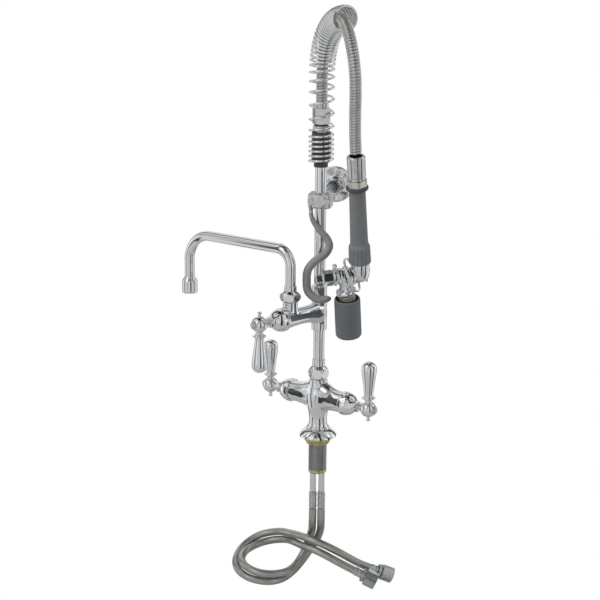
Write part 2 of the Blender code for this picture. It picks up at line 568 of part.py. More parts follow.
combine(valve_body, 'UNION', [
    rod("valve_barrel", BARREL_LINE, 11.6, 2, 33.4, None, 16),
    turned("valve_head", ((0, -14), (11.8, -14), (11.8, -38), (14.0, -44), (17.4, -46.4),
                          (17.4, -49.6), (0, -49.6)), HEAD_LINE, None, 18),
    rod("plunger_boss", PLUNGER_LINE, 7.4, 4, 17.6, None, 12),
    block("ear_near", VALVE_BLOCK, (LEVER_OUT + EAR_GAP, PIN_SIDE - 3.6, PIN_G - 4.5),
          (LEVER_OUT + EAR_GAP + EAR_THICK, -3.0, -20.0), None),
    block("ear_far", VALVE_BLOCK, (LEVER_OUT - EAR_GAP - EAR_THICK, PIN_SIDE - 3.6, PIN_G - 4.5),
          (LEVER_OUT - EAR_GAP, -3.0, -20.0), None)])
PIN_LINE = place(spot(LEVER_OUT, PIN_SIDE, PIN_G), BONNET_OUT, GRIP_UP)
combine(valve_body, 'DIFFERENCE', [
    rod("bonnet_way", BARREL_LINE, 7.4, 19.7, 40, None, 16),
    rod("spray_way", HEAD_LINE, 9.6, -60, -41.6, None, 16),
    rod("plunger_way", PLUNGER_LINE, 4.2, 8.6, 25, None, 12),
    rod("pin_way", PIN_LINE, 2.2, -14, 14, None, 12)])
valve_bonnet = turned("valve_bonnet", (
    (0, 67.0), (5.6, 67.0), (7.0, 65.8), (7.0, 57.4), (9.4, 57.0), (10.2, 56.0), (10.2, 42.0),
    (9.2, 41.0), (12.2, 39.6), (12.2, 36.4), (8.4, 35.6), (8.4, 33.7), (7.1, 33.7), (7.1, 20.0),
    (0, 20.0)), BARREL_LINE, "chrome", 16)
plunger = turned("plunger", ((0, 24.4), (4.4, 23.8), (5.0, 22.2), (5.0, 20.6), (3.9, 20.6),
                             (3.9, 11.6), (0, 11.6)), PLUNGER_LINE, "satin_steel", 12)
lever_pin = rod("lever_pin", PIN_LINE, 1.9, -9.6, 9.6, "satin_steel", 12)

LEVER_FRAME = place(spot(LEVER_OUT, 0, 0), -BONNET_OUT, GRIP_UP)
LEVER_OUTLINE = (
    (-34.6, -23.4), (-31.0, -24.8), (-26.0, -26.6), (-18.0, -27.4), (0.0, -27.6), (30.0, -29.2),
    (60.0, -32.0), (86.0, -36.2), (95.0, -39.4), (97.0, -37.6), (88.0, -33.8), (60.0, -29.4),
    (30.0, -26.6), (0.0, -25.0), (-18.0, -24.8), (-23.8, -24.2), (-26.4, -20.5), (-28.0, -17.8),
    (-32.0, -17.4), (-35.0, -20.2))


def lever_plate():
    """Squeeze lever: a bent strip seen from its side, as wide as the gap between the lugs."""
    half_width = 6.0
    shape = bmesh.new()
    faces = []
    for offset in (-half_width, half_width):
        corners = [shape.verts.new(LEVER_FRAME @ (Vector((up, side, offset)) * MM))
                   for up, side in LEVER_OUTLINE]
        faces.append(shape.faces.new(corners))
    count = len(LEVER_OUTLINE)
    low, high = list(faces[0].verts), list(faces[1].verts)
    for i in range(count):
        shape.faces.new((low[i], low[(i + 1) % count], high[(i + 1) % count], high[i]))
    bmesh.ops.recalc_face_normals(shape, faces=shape.faces)
    mesh = bpy.data.meshes.new("squeeze_lever")
    shape.to_mesh(mesh)
    shape.free()
    return finish_object(bpy.data.objects.new("squeeze_lever", mesh), "chrome")


squeeze_lever = lever_plate()
combine(squeeze_lever, 'DIFFERENCE', [rod("lever_pin_way", PIN_LINE, 2.2, -20, 20, None, 12)])

RING_R, RING_WIRE_R = 25.5, 1.3
RING_CENTRE = spot(12.0, -11.0, -20.5)
ring_normal = (BONNET_OUT * math.cos(math.radians(20)) - GRIP_UP * math.sin(math.radians(20)))
ring_start = RING_CENTRE + VIEW_SIDE * RING_R
hold_down_ring = wire("hold_down_ring", arc(RING_CENTRE, ring_start, ring_normal, 360, 24)[:-1],
                      RING_WIRE_R, "chrome", 1, cyclic=True)

bumper = turned("bumper", (
    (16.4, -54.0), (18.2, -54.2), (18.9, -55.4), (19.2, -112.0), (17.8, -115.0), (14.2, -115.0),
    (14.2, -96.0), (13.2, -94.0), (13.2, -86.0), (14.6, -80.0), (16.4, -62.0)), HEAD_LINE,
    "blue_grey_rubber", 20, closed=True)
spray_face = turned("spray_face", (
    (0, -42.0), (9.2, -42.0), (9.2, -52.0), (12.6, -54.0), (12.9, -60.0), (12.9, -110.0),
    (11.8, -111.6), (0, -111.6)), HEAD_LINE, "brass", 16)
pivot("pivot_spray_valve", GRIP_FOOT, [valve_body, valve_bonnet, lever_pin, bumper, spray_face])
pivot("pivot_squeeze_lever", spot(LEVER_OUT, PIN_SIDE, PIN_G), [squeeze_lever])
pivot("pivot_plunger", spot(LEVER_OUT, 0, BARREL_G), [plunger])
pivot("pivot_hold_down_ring", RING_CENTRE, [hold_down_ring])


# ---- water supply -------------------------------------------------------------------------------
def supply_line(side, route, nut_flats, nut_sides):
    """Rigid tube, crimp, free hose, end crimp and coupling nut of one supply line."""
    top = place(TUBE_SPOTS[side])
    rod(f"supply_tube_{side}", top, TUBE_R, TUBE_END_Z, 41.0, "chrome", 14)
    turned(f"top_crimp_{side}", (
        (0, TUBE_END_Z - 0.3), (TUBE_R + 0.6, TUBE_END_Z - 0.3), (5.8, TUBE_END_Z - 1.5),
        (5.8, TUBE_END_Z - CRIMP_LENGTH + 1), (0, TUBE_END_Z - CRIMP_LENGTH + 0.9)),
        top, "satin_steel", 14)
    path = smooth_route(route, 18.0)
    wire(f"supply_hose_{side}", path, SUPPLY_R, "satin_steel", 2)
    ahead = (Vector(route[-1]) - Vector(route[-2])).normalized()
    line = place(Vector(route[-1]), ahead)
    turned(f"end_crimp_{side}", (
        (0, 27.0), (6.4, 27.0), (7.2, 26.0), (7.2, 23.4), (4.6, 22.6), (4.6, 16.0), (6.4, 15.0),
        (6.4, GAP + 0.6), (5.8, GAP), (0, GAP)), line, "satin_steel", 14)
    nut = prism(f"supply_nut_{side}", line, nut_flats, 17.0, 37.0, "cast_alloy", nut_sides)
    combine(nut, 'DIFFERENCE', [
        rod(f"nut_neck_{side}", line, 5.2, 10, 40, None, 16),
        rod(f"nut_socket_{side}", line, 8.6, 22.0, 40, None, 18)])


supply_line("cold", SUPPLY_ROUTE_COLD, 24.0, 12)
supply_line("hot", SUPPLY_ROUTE_HOT, 24.0, 6)
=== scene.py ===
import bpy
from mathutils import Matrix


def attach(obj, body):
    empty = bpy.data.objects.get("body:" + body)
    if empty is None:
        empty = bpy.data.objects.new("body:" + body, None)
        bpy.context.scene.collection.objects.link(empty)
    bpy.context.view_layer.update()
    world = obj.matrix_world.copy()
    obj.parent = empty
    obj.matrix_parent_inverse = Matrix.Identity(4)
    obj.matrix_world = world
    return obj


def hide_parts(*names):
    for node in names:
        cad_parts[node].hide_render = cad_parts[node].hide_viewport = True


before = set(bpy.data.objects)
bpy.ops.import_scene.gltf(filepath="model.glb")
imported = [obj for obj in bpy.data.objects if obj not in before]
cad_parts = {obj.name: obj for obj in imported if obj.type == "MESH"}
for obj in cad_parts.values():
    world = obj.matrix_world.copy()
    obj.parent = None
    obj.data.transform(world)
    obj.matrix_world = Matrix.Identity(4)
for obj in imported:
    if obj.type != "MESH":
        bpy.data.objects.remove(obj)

"""Visual model of a deck-mounted pre-rinse faucet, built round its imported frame.

Shapes are made in millimetres in the part's own frame (+Z up, the riser on the Z axis, -Y the
front) and become metres as each mesh is made, so every piece's object stays at the origin.
"""
import math

import bmesh
import bpy
from mathutils import Matrix, Quaternion, Vector, noise

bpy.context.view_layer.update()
MM = 0.001
ROOT = "faucet"

# ---- driving dimensions, as in the CAD part -----------------------------------------------------
PIPE_R = 8.55
FLANGE_R, FLANGE_H = 28.5, 12.0
BODY_AXIS_Z, BODY_TOP_Z = 61.0, 90.0
LEVER_REACH, HUB_TO_SEAT, HUB_R = 95.0, 38.0, 12.2
SHANK_R, SHANK_BORE_R, SHANK_END_Z = 14.0, 11.7, -59.0
ADDON_Z, ADDON_HEADING, ADDON_REACH = 193.0, -98.5, 117.0
SWIVEL_REACH = 58.0
NECK_TOP_Z = 218.0
NOZZLE_R, NOZZLE_RUN_Z, NOZZLE_REACH = 7.9, 294.0, 203.0
NOZZLE_END_Z, OUTLET_END_Z = 207.0, 200.0
LEG_BEND_R, OUTLET_BEND_R = 24.0, 42.0
CLAMP_Z, CLAMP_H = 362.0, 23.5
WALL_HEADING, WALL_REACH, ROD_R = 120.0, 152.0, 6.5
SPRING_Z, SPRING_R, SPRING_WIRE_R = 419.0, 17.4, 1.9
ARCH_Z, ARCH_R, ARCH_HEADING = 550.0, 77.0, -27.6
HOSE_R, HOSE_START_Z, NUT_IN_SPRING_Z = 8.5, 504.0, 463.3
GRIP_FOOT, GRIP_HEAD = Vector((82.1, -10.0, 281.5)), Vector((98.3, -44.7, 437.2))
BONNET_HEADING, BARREL_G = 231.5, -18.0
HEAD_OUT, LEVER_OUT = 21.0, -2.0
PIN_SIDE, PIN_G = -21.0, -31.0
TUBE_HEADING, TUBE_OFFSET, TUBE_R, TUBE_END_Z = 39.5, 6.5, 4.7, -91.0
CRIMP_LENGTH, SUPPLY_R = 28.0, 6.0
FLOOR_Z = -246.0

# Routes of the free hoses, the same points as in the CAD part.
HOSE_ROUTE = (
    (0.0, 0.0, 504.3), (0.0, 0.0, 520.0), (0.0, 0.0, 535.0), (0.5, 0.0, 556.0),
    (5.5, -2.5, 581.5), (17.5, -9.0, 603.5), (34.5, -19.5, 619.0), (52.0, -31.0, 626.0),
    (69.0, -43.0, 626.0), (84.5, -55.0, 620.0), (97.5, -64.5, 608.5), (108.0, -71.5, 593.0),
    (114.5, -74.5, 574.5), (117.0, -74.0, 553.5), (114.5, -69.5, 531.0), (108.0, -61.0, 502.0),
    (102.0, -52.4, 470.0), (99.2, -46.6, 445.8),
)
SUPPLY_ROUTE_COLD = (
    (5.0, 4.1, -119.3), (4.9, 4.3, -130.0), (2.0, 8.0, -144.0), (-6.0, 17.0, -161.0),
    (-18.5, 25.5, -180.5), (-31.5, 24.5, -202.5), (-38.5, 11.5, -221.0), (-40.5, -7.0, -232.0),
    (-40.5, -36.5, -236.0), (-50.5, -57.5, -236.0), (-74.0, -71.5, -232.5), (-99.5, -69.5, -227.5),
    (-121.0, -52.0, -221.0), (-130.0, -24.0, -209.5), (-118.5, 0.5, -196.0), (-90.5, 13.0, -186.0),
    (-58.5, 8.5, -179.0), (-30.0, 0.0, -173.5), (-7.0, 1.5, -175.0), (13.5, 9.5, -181.5),
    (31.0, 20.0, -191.0), (46.0, 32.0, -202.0), (57.5, 42.5, -210.5), (66.0, 51.0, -215.5),
)
SUPPLY_ROUTE_HOT = (
    (-5.0, -4.1, -119.3), (-5.3, -3.8, -130.0), (-8.5, 0.0, -143.5), (-20.5, 13.0, -166.0),
    (-28.5, 15.0, -184.5), (-31.0, 7.5, -202.0), (-32.0, -9.0, -217.0), (-33.0, -29.0, -223.0),
    (-42.5, -51.0, -223.5), (-62.5, -66.0, -221.5), (-87.0, -67.0, -218.0),
    (-106.0, -55.5, -215.0), (-116.5, -33.5, -211.0), (-113.0, -8.5, -206.5), (-98.5, 8.5, -201.5),
    (-75.5, 15.0, -196.0), (-43.5, 2.5, -188.5), (-23.0, -3.5, -187.0), (-3.0, -2.0, -188.0),
    (16.5, 2.0, -193.0), (33.5, 8.5, -200.5), (47.0, 15.5, -207.5), (58.0, 21.5, -213.0),
)
HOOK_ROUTE = (
    (-4.8, -16.0, 357.0), (-4.8, -16.0, 347.0), (-2.0, -16.0, 335.5), (7.0, -12.0, 321.0),
    (18.5, -7.0, 308.0), (24.0, -8.0, 297.0), (21.5, -15.0, 286.0), (12.0, -27.0, 276.0),
    (6.0, -34.5, 264.0), (5.5, -37.0, 249.0), (9.5, -37.5, 231.5), (22.5, -30.0, 221.0),
    (37.5, -19.0, 223.0),
)
HOOK_RADII = (2.8, 3.2, 4.2, 5.0, 5.6, 5.9, 6.0, 6.1, 6.2, 6.2, 6.1, 5.8, 4.8)

model = bpy.data.collections.new("pre_rinse_faucet")
bpy.context.scene.collection.children.link(model)


# ---- frames -------------------------------------------------------------------------------------
def direction(heading):
    """Level unit vector at a heading in degrees from +X."""
    turn = math.radians(heading)
    return Vector((math.cos(turn), math.sin(turn), 0.0))


def place(origin=(0, 0, 0), up=(0, 0, 1), side=(1, 0, 0)):
    """Matrix (mm) of a frame at origin with its Z along up and its X near side."""
    z = Vector(up).normalized()
    x = Vector(side) - Vector(side).dot(z) * z
    if x.length < 0.01:
        x = Vector((0, 1, 0)) - Vector((0, 1, 0)).dot(z) * z
    x.normalize()
    matrix = Matrix((x, z.cross(x), z)).transposed().to_4x4()
    matrix.translation = Vector(origin)
    return matrix


# ---- camera -------------------------------------------------------------------------------------
VIEW_AZIMUTH, VIEW_ELEVATION, VIEW_ROLL = (math.radians(a) for a in (39.5, 13.5, 0.5))
VIEW_DISTANCE, VIEW_LENS = 2.2, 88.56
VIEW_AIM_Z, VIEW_SIDESTEP = 0.2108, -0.0288


def make_camera():
    back = Vector((math.sin(VIEW_AZIMUTH) * math.cos(VIEW_ELEVATION),
                   -math.cos(VIEW_AZIMUTH) * math.cos(VIEW_ELEVATION), math.sin(VIEW_ELEVATION)))
    right = Vector((math.cos(VIEW_AZIMUTH), math.sin(VIEW_AZIMUTH), 0.0))
    camera = bpy.data.objects.new("camera", bpy.data.cameras.new("camera"))
    camera.data.sensor_width = 36.0
    camera.data.lens = VIEW_LENS
    camera.data.clip_end = 200.0
    camera.rotation_mode = 'QUATERNION'
    camera.location = Vector((0, 0, VIEW_AIM_Z)) + right * VIEW_SIDESTEP + back * VIEW_DISTANCE
    camera.rotation_quaternion = (-back).to_track_quat('-Z', 'Y') @ Quaternion((0, 0, 1), VIEW_ROLL)
    bpy.context.scene.collection.objects.link(camera)
    bpy.context.scene.camera = camera


make_camera()


# ---- materials ----------------------------------------------------------------------------------
class Surface:
    """Principled material with short calls for its procedural detail."""

    def __init__(self, name, colour, roughness, metallic=0.0):
        self.material = bpy.data.materials.new(name)
        self.material.use_nodes = True
        self.nodes, self.links = self.material.node_tree.nodes, self.material.node_tree.links
        self.shader = self.nodes["Principled BSDF"]
        self.shader.inputs["Metallic"].default_value = metallic
        self.place = self.nodes.new("ShaderNodeTexCoord").outputs["Object"]
        self.colour, self.roughness = colour, roughness
        self.tint, self.height = None, None

    def add(self, kind, **settings):
        node = self.nodes.new("ShaderNode" + kind)
        for key, value in settings.items():
            setattr(node, key, value)
        return node

    def plug(self, socket, value):
        if isinstance(value, bpy.types.NodeSocket):
            self.links.new(value, socket)
        else:
            socket.default_value = value

    def math(self, operation, first, second=0.0, clamp=False):
        node = self.add("Math", operation=operation, use_clamp=clamp)
        self.plug(node.inputs[0], first)
        self.plug(node.inputs[1], second)
        return node.outputs[0]

    def noise(self, scale, detail=3.0, stretch=(1, 1, 1), rough=0.5):
        """Noise from 0 to 1; scale is in cells per metre along an unstretched axis."""
        mapping = self.add("Mapping")
        mapping.inputs["Scale"].default_value = stretch
        self.links.new(self.place, mapping.inputs["Vector"])
        node = self.add("TexNoise")
        self.links.new(mapping.outputs["Vector"], node.inputs["Vector"])
        node.inputs["Scale"].default_value = scale
        node.inputs["Detail"].default_value = detail
        node.inputs["Roughness"].default_value = rough
        return node.outputs["Fac"]

    def remap(self, value, low, high, to_low, to_high):
        node = self.add("MapRange")
        for key, number in (("Value", value), ("From Min", low), ("From Max", high),
                            ("To Min", to_low), ("To Max", to_high)):
            self.plug(node.inputs[key], number)
        return node.outputs["Result"]

    def attribute(self, name):
        return self.add("Attribute", attribute_name=name).outputs["Fac"]

    def worn(self, low=0.50, high=0.58):
        """1 on convex edges, 0 elsewhere."""
        return self.remap(self.add("NewGeometry").outputs["Pointiness"], low, high, 0.0, 1.0)

    def mix(self, factor, first, second):
        node = self.add("Mix", data_type='RGBA')
        self.plug(node.inputs[0], factor)
        for socket, value in ((node.inputs[6], first), (node.inputs[7], second)):
            self.plug(socket, value if isinstance(value, bpy.types.NodeSocket) else (*value, 1.0))
        return node.outputs[2]

    def tinted(self, factor, other):
        """Blends the colour so far towards another one."""
        self.tint = self.mix(factor, self.tint or self.colour, other)
        return self

    def mottled(self, scale, amount, detail=4.0):
        """Lighter and darker patches."""
        shade = [min(1.0, channel * (1 - amount)) for channel in self.colour]
        factor = self.remap(self.noise(scale, detail), 0.35, 0.65, 0.0, 1.0)
        return self.tinted(factor, shade)

    def rough_by(self, value, spread):
        """Lets the roughness follow a value from 0 to 1."""
        low, high = self.roughness * (1 - spread), self.roughness * (1 + spread)
        self.links.new(self.remap(value, 0.3, 0.7, low, high), self.shader.inputs["Roughness"])
        return self

    def bump(self, value, millimetres, strength=1.0):
        node = self.add("Bump")
        node.inputs["Distance"].default_value = millimetres * MM
        node.inputs["Strength"].default_value = strength
        self.links.new(value, node.inputs["Height"])
        if self.height:
            self.links.new(self.height, node.inputs["Normal"])
        self.height = node.outputs["Normal"]
        return self

    def done(self):
        self.plug(self.shader.inputs["Base Color"], self.tint or (*self.colour, 1.0))
        if not self.shader.inputs["Roughness"].is_linked:
            self.shader.inputs["Roughness"].default_value = self.roughness
        if self.height:
            self.links.new(self.height, self.shader.inputs["Normal"])
        return self.material


def plated(name, colour, roughness, waviness=0.02, wave_scale=70.0):
    """Polished plate over metal: faint waviness, water spots and edges worn brighter."""
    skin = Surface(name, colour, roughness, 1.0)
    skin.mottled(38.0, 0.035)
    skin.tinted(skin.math('MULTIPLY', skin.worn(), 0.35), (0.93, 0.93, 0.92))
    skin.rough_by(skin.noise(160.0, 5.0, rough=0.65), 0.45)
    skin.bump(skin.noise(wave_scale, 2.0), waviness)
    skin.bump(skin.noise(2600.0, 2.0), 0.002, 0.4)
    return skin.done()


def satin(name, colour, roughness, stretch=(1, 1, 0.04), relief="", grooves=(0.2, 0.2, 0.2)):
    """Drawn or machined metal with fine lines, with painted shade darkening it down in any modelled
    grooves.
    """
    skin = Surface(name, colour, roughness, 1.0)
    skin.mottled(90.0, 0.14)
    if relief:
        # painted shade: the colour is pulled towards the groove colour where the relief pattern is
        # low, down in each groove
        depth = skin.remap(skin.attribute(relief), 0.0, 0.7, 0.85, 0.0)
        skin.tinted(depth, grooves)
    skin.tinted(skin.math('MULTIPLY', skin.worn(), 0.4), (0.85, 0.85, 0.83))
    lines = skin.noise(1500.0, 3.0, stretch)
    skin.rough_by(lines, 0.30)
    skin.bump(lines, 0.012, 0.5)
    return skin.done()


def cast_metal(name, colour, roughness):
    """Tumbled casting: grainy, with dull pits and brighter rubbed edges."""
    skin = Surface(name, colour, roughness, 1.0)
    skin.mottled(140.0, 0.28, 6.0)
    skin.tinted(skin.math('MULTIPLY', skin.worn(0.49, 0.56), 0.6), (0.86, 0.86, 0.85))
    skin.rough_by(skin.noise(420.0, 5.0), 0.35)
    skin.bump(skin.noise(520.0, 5.0, rough=0.6), 0.10, 0.7)
    return skin.done()


def moulded(name, colour, roughness, mottle=0.10, grain=0.03, light_edge=(0.36, 0.37, 0.37)):
    """Moulded rubber or coating: fine grain, faint scuffs and paler edges."""
    skin = Surface(name, colour, roughness)
    skin.mottled(55.0, mottle, 6.0)
    skin.tinted(skin.math('MULTIPLY', skin.worn(0.505, 0.60), 0.5), light_edge)
    scuffs = skin.noise(240.0, 6.0, (1, 1, 0.25), 0.7)
    skin.tinted(skin.remap(scuffs, 0.60, 0.80, 0.0, 0.22), light_edge)
    skin.rough_by(skin.noise(300.0, 4.0), 0.18)
    skin.bump(skin.noise(1800.0, 3.0), grain, 0.6)
    return skin.done()


CHROME = plated("chrome_plate", (0.82, 0.83, 0.835), 0.035)
CAST_CHROME = plated("chrome_on_casting", (0.81, 0.82, 0.825), 0.045, 0.06, 46.0)
WIRE_CHROME = plated("chrome_wire", (0.82, 0.83, 0.835), 0.06, 0.03, 120.0)
SATIN = satin("satin_steel", (0.60, 0.61, 0.60), 0.27)
NUT_STEEL = satin("nut_steel", (0.66, 0.67, 0.67), 0.17)
ROD_STEEL = satin("rod_steel", (0.20, 0.21, 0.22), 0.28)
PALE_BRASS = satin("pale_brass", (0.62, 0.61, 0.53), 0.20)
NICKEL = satin("nickel_nut", (0.50, 0.54, 0.56), 0.26)
# The last colour given to each of these three is the painted shade at the bottom of its modelled
# grooves.
SHANK_STEEL = satin("threaded_steel", (0.36, 0.36, 0.35), 0.34, (1, 1, 1), "relief",
                    (0.05, 0.05, 0.05))
HOSE_STEEL = satin("hose_ribs", (0.60, 0.60, 0.57), 0.18, (1, 1, 1), "relief",
                   (0.035, 0.035, 0.033))
BRAID = satin("hose_braid", (0.60, 0.59, 0.55), 0.33, (1, 1, 1), "relief", (0.15, 0.145, 0.13))
BRASS = satin("brass", (0.62, 0.53, 0.22), 0.30, (1, 1, 0.2))
OLD_BRASS = satin("spray_brass", (0.46, 0.41, 0.33), 0.36, (1, 1, 1))
CASTING = cast_metal("tumbled_casting", (0.80, 0.81, 0.81), 0.34)
GRIP_RUBBER = moulded("grip_rubber", (0.160, 0.166, 0.170), 0.52)
BUMPER_RUBBER = moulded("bumper_rubber", (0.118, 0.130, 0.140), 0.48, light_edge=(0.2, 0.21, 0.22))
HOOK_COATING = moulded("hook_coating", (0.215, 0.222, 0.216), 0.42, 0.07, 0.02)
DARK_POLYMER = moulded("dark_polymer", (0.050, 0.053, 0.056), 0.45, light_edge=(0.14, 0.14, 0.15))
# Black rubber of the seal inside each coupling nut, made darker than the other dark polymer as painted
# shade down in the nut.
SHADED_SEAL_RUBBER = moulded("seal_rubber_painted_shade", (0.012, 0.012, 0.013), 0.60, light_edge=(0.03, 0.03, 0.03))


# ---- making pieces ------------------------------------------------------------------------------
def piece(shape, material, body=ROOT, nodes=(), sharp=38):
    """Turns a bmesh into a finished piece that rides on a body and stands for CAD nodes."""
    name, shape = shape
    mesh = bpy.data.meshes.new(name)
    shape.to_mesh(mesh)
    shape.free()
    mesh.transform(Matrix.Scale(MM, 4))
    mesh.shade_smooth()
    mesh.set_sharp_from_angle(angle=math.radians(sharp))
    mesh.materials.append(material)
    thing = bpy.data.objects.new(name, mesh)
    model.objects.link(thing)
    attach(thing, body)
    if nodes:
        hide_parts(*nodes)
    return thing


def rounded(profile, radius, closed=False, steps=4):
    """The profile with its corners rounded; points on the axis stay as they are."""
    points = [Vector((r, z)) for r, z in profile]
    count, result = len(points), []
    for i, corner in enumerate(points):
        ends = not closed and i in (0, count - 1)
        if ends or corner.x < 1e-6:
            result.append(corner)
            continue
        before, after = points[i - 1] - corner, points[(i + 1) % count] - corner
        turn = math.pi - before.angle(after) if before.length and after.length else 0.0
        if turn < math.radians(8):
            result.append(corner)
            continue
        cut = min(radius * math.tan(turn / 2), 0.45 * before.length, 0.45 * after.length)
        start, end = corner + before.normalized() * cut, corner + after.normalized() * cut
        for step in range(steps + 1):
            t = step / steps
            result.append(start * (1 - t) ** 2 + corner * 2 * t * (1 - t) + end * t ** 2)
    return [(point.x, point.y) for point in result]


def flowing(profile, steps=5):
    """The profile as a smooth curve through its points."""
    points = [Vector((r, z)) for r, z in profile]
    points = [2 * points[0] - points[1]] + points + [2 * points[-1] - points[-2]]
    result = []
    for p0, p1, p2, p3 in zip(points, points[1:], points[2:], points[3:]):
        for step in range(steps):
            t = step / steps
            result.append(0.5 * (2 * p1 + (p2 - p0) * t + (2 * p0 - 5 * p1 + 4 * p2 - p3) * t ** 2
                                 + (3 * p1 - 3 * p2 + p3 - p0) * t ** 3))
    result.append(points[-2])
    return [(max(0.0, point.x), point.y) for point in result]


def lathe(name, where, outline, segments=72, closed=False, relief=None):
    """Skin turned about the frame's Z.

    The outline is a list of (radius, height), or a function of the angle that gives one. relief
    gives each point's height in its own surface pattern, from 0 in a groove to 1 on a crest.
    """
    profile_at = outline if callable(outline) else (lambda angle: outline)
    shape = bmesh.new()
    layer = shape.verts.layers.float.new("relief") if relief else None
    columns, tips = [], {}
    for i in range(segments):
        angle = 2 * math.pi * i / segments
        column = []
        for j, (radius, height) in enumerate(profile_at(angle)):
            if radius < 1e-6:
                if j not in tips:
                    tips[j] = shape.verts.new(where @ Vector((0, 0, height)))
                column.append(tips[j])
                continue
            spot_ = Vector((radius * math.cos(angle), radius * math.sin(angle), height))
            vertex = shape.verts.new(where @ spot_)
            if layer:
                vertex[layer] = relief(radius, angle, height)
            column.append(vertex)
        columns.append(column)
    length = len(columns[0])
    for i, column in enumerate(columns):
        other = columns[(i + 1) % segments]
        for j in range(length if closed else length - 1):
            k = (j + 1) % length
            corners = [column[j], column[k], other[k], other[j]]
            corners = [c for n, c in enumerate(corners) if c not in corners[:n]]
            if len(corners) > 2:
                shape.faces.new(corners)
    bmesh.ops.recalc_face_normals(shape, faces=shape.faces)
    return name, shape


def hexed(flats, low, high, bore=0.0, chamfer=0.86, sides=6, soft=0.5, dome=0.577):
    """Outline of a nut: its hexagon (or other) flats and the chamfers turned on its ends."""
    def at(angle):
        sector = 2 * math.pi / sides
        off = (angle + sector / 2) % sector - sector / 2
        reach = min(flats / 2 / math.cos(off), flats / 2 / math.cos(sector / 2) - soft * 0.35)
        start = flats / 2 / math.cos(sector / 2) * chamfer
        drop = max(0.0, reach - start) * dome
        points = [(start, high), (reach, high - drop), (reach, low + drop), (start, low)]
        inner = [(bore, low), (bore, high)] if bore else []
        return (points + inner) if bore else [(0, high)] + points + [(0, low)]
    return at


def acorn(flats, low, high, bore, foot, top, sides=6):
    """Outline of a nut whose flats are turned down to a rounded barrel at both ends."""
    corner = flats / 2 / math.cos(math.pi / sides)
    barrel = flowing([(foot, low), (corner * 0.93, low + (high - low) * 0.16),
                      (corner * 1.01, low + (high - low) * 0.38),
                      (corner * 0.99, low + (high - low) * 0.58),
                      (corner * 0.86, low + (high - low) * 0.80), (top, high)], 5)

    def at(angle):
        sector = 2 * math.pi / sides
        off = (angle + sector / 2) % sector - sector / 2
        reach = flats / 2 / math.cos(off)
        return [(min(r, reach), z) for r, z in barrel[::-1]] + [(bore, low), (bore, high)]
    return at


def smooth_route(points, spacing):
    """Points about evenly spaced on a centripetal Catmull-Rom curve through the given ones."""
    knots = [Vector(p) for p in points]
    knots = [2 * knots[0] - knots[1]] + knots + [2 * knots[-1] - knots[-2]]
    fine = []
    for p0, p1, p2, p3 in zip(knots, knots[1:], knots[2:], knots[3:]):
        t1 = (p1 - p0).length ** 0.5
        t2 = t1 + (p2 - p1).length ** 0.5
        t3 = t2 + (p3 - p2).length ** 0.5
        for step in range(24):
            t = t1 + (t2 - t1) * step / 24
            a1 = p0 * ((t1 - t) / t1) + p1 * (t / t1)
            a2 = p1 * ((t2 - t) / (t2 - t1)) + p2 * ((t - t1) / (t2 - t1))
            a3 = p2 * ((t3 - t) / (t3 - t2)) + p3 * ((t - t2) / (t3 - t2))
            b1 = a1 * ((t2 - t) / t2) + a2 * (t / t2)
            b2 = a2 * ((t3 - t) / (t3 - t1)) + a3 * ((t - t1) / (t3 - t1))
            fine.append(b1 * ((t2 - t) / (t2 - t1)) + b2 * ((t - t1) / (t2 - t1)))
    fine.append(knots[-2])
    return evenly(fine, spacing)


def evenly(fine, spacing):
    """The same polyline with points about so far apart."""
    travelled = [0.0]
    for first, second in zip(fine, fine[1:]):
        travelled.append(travelled[-1] + (second - first).length)
    count = max(2, round(travelled[-1] / spacing))
    result, index = [], 0
    for step in range(count + 1):
        target = travelled[-1] * step / count
        while index < len(fine) - 2 and travelled[index + 1] < target:
            index += 1
        share = (target - travelled[index]) / (travelled[index + 1] - travelled[index])
        result.append(fine[index].lerp(fine[index + 1], share))
    return result


def tube(name, path, radius, around=20, relief=None, cyclic=False, squash=None):
    """Closed skin round a path.

    radius is a number or a function of the share of the way along. relief(travel, angle) gives
    (extra radius, pattern height from 0 to 1). squash flattens the section across its first axis.
    """
    count = len(path)
    shape = bmesh.new()
    layer = shape.verts.layers.float.new("relief") if relief else None
    tangents = []
    for i in range(count):
        ahead = path[(i + 1) % count if cyclic else min(i + 1, count - 1)]
        behind = path[i - 1 if cyclic else max(i - 1, 0)]
        tangents.append((ahead - behind).normalized())
    normal = tangents[0].orthogonal().normalized()
    rings, travel = [], 0.0
    for i, (centre, tangent) in enumerate(zip(path, tangents)):
        if i:
            travel += (centre - path[i - 1]).length
            normal = (normal - normal.dot(tangent) * tangent).normalized()
        binormal = tangent.cross(normal)
        reach = radius(i / (count - 1)) if callable(radius) else radius
        ring_ = []
        for k in range(around):
            angle = 2 * math.pi * k / around
            extra, pattern = relief(travel, angle) if relief else (0.0, 0.0)
            flat = squash if squash else 1.0
            offset = (normal * math.cos(angle) * flat + binormal * math.sin(angle)) * (reach + extra)
            vertex = shape.verts.new(centre + offset)
            if layer:
                vertex[layer] = pattern
            ring_.append(vertex)
        rings.append(ring_)
    pairs = list(zip(rings, rings[1:])) + ([(rings[-1], rings[0])] if cyclic else [])
    for low, high in pairs:
        for k in range(around):
            other = (k + 1) % around
            shape.faces.new((low[k], low[other], high[other], high[k]))
    if not cyclic:
        shape.faces.new(rings[0][::-1])
        shape.faces.new(rings[-1])
    bmesh.ops.recalc_face_normals(shape, faces=shape.faces)
    return name, shape


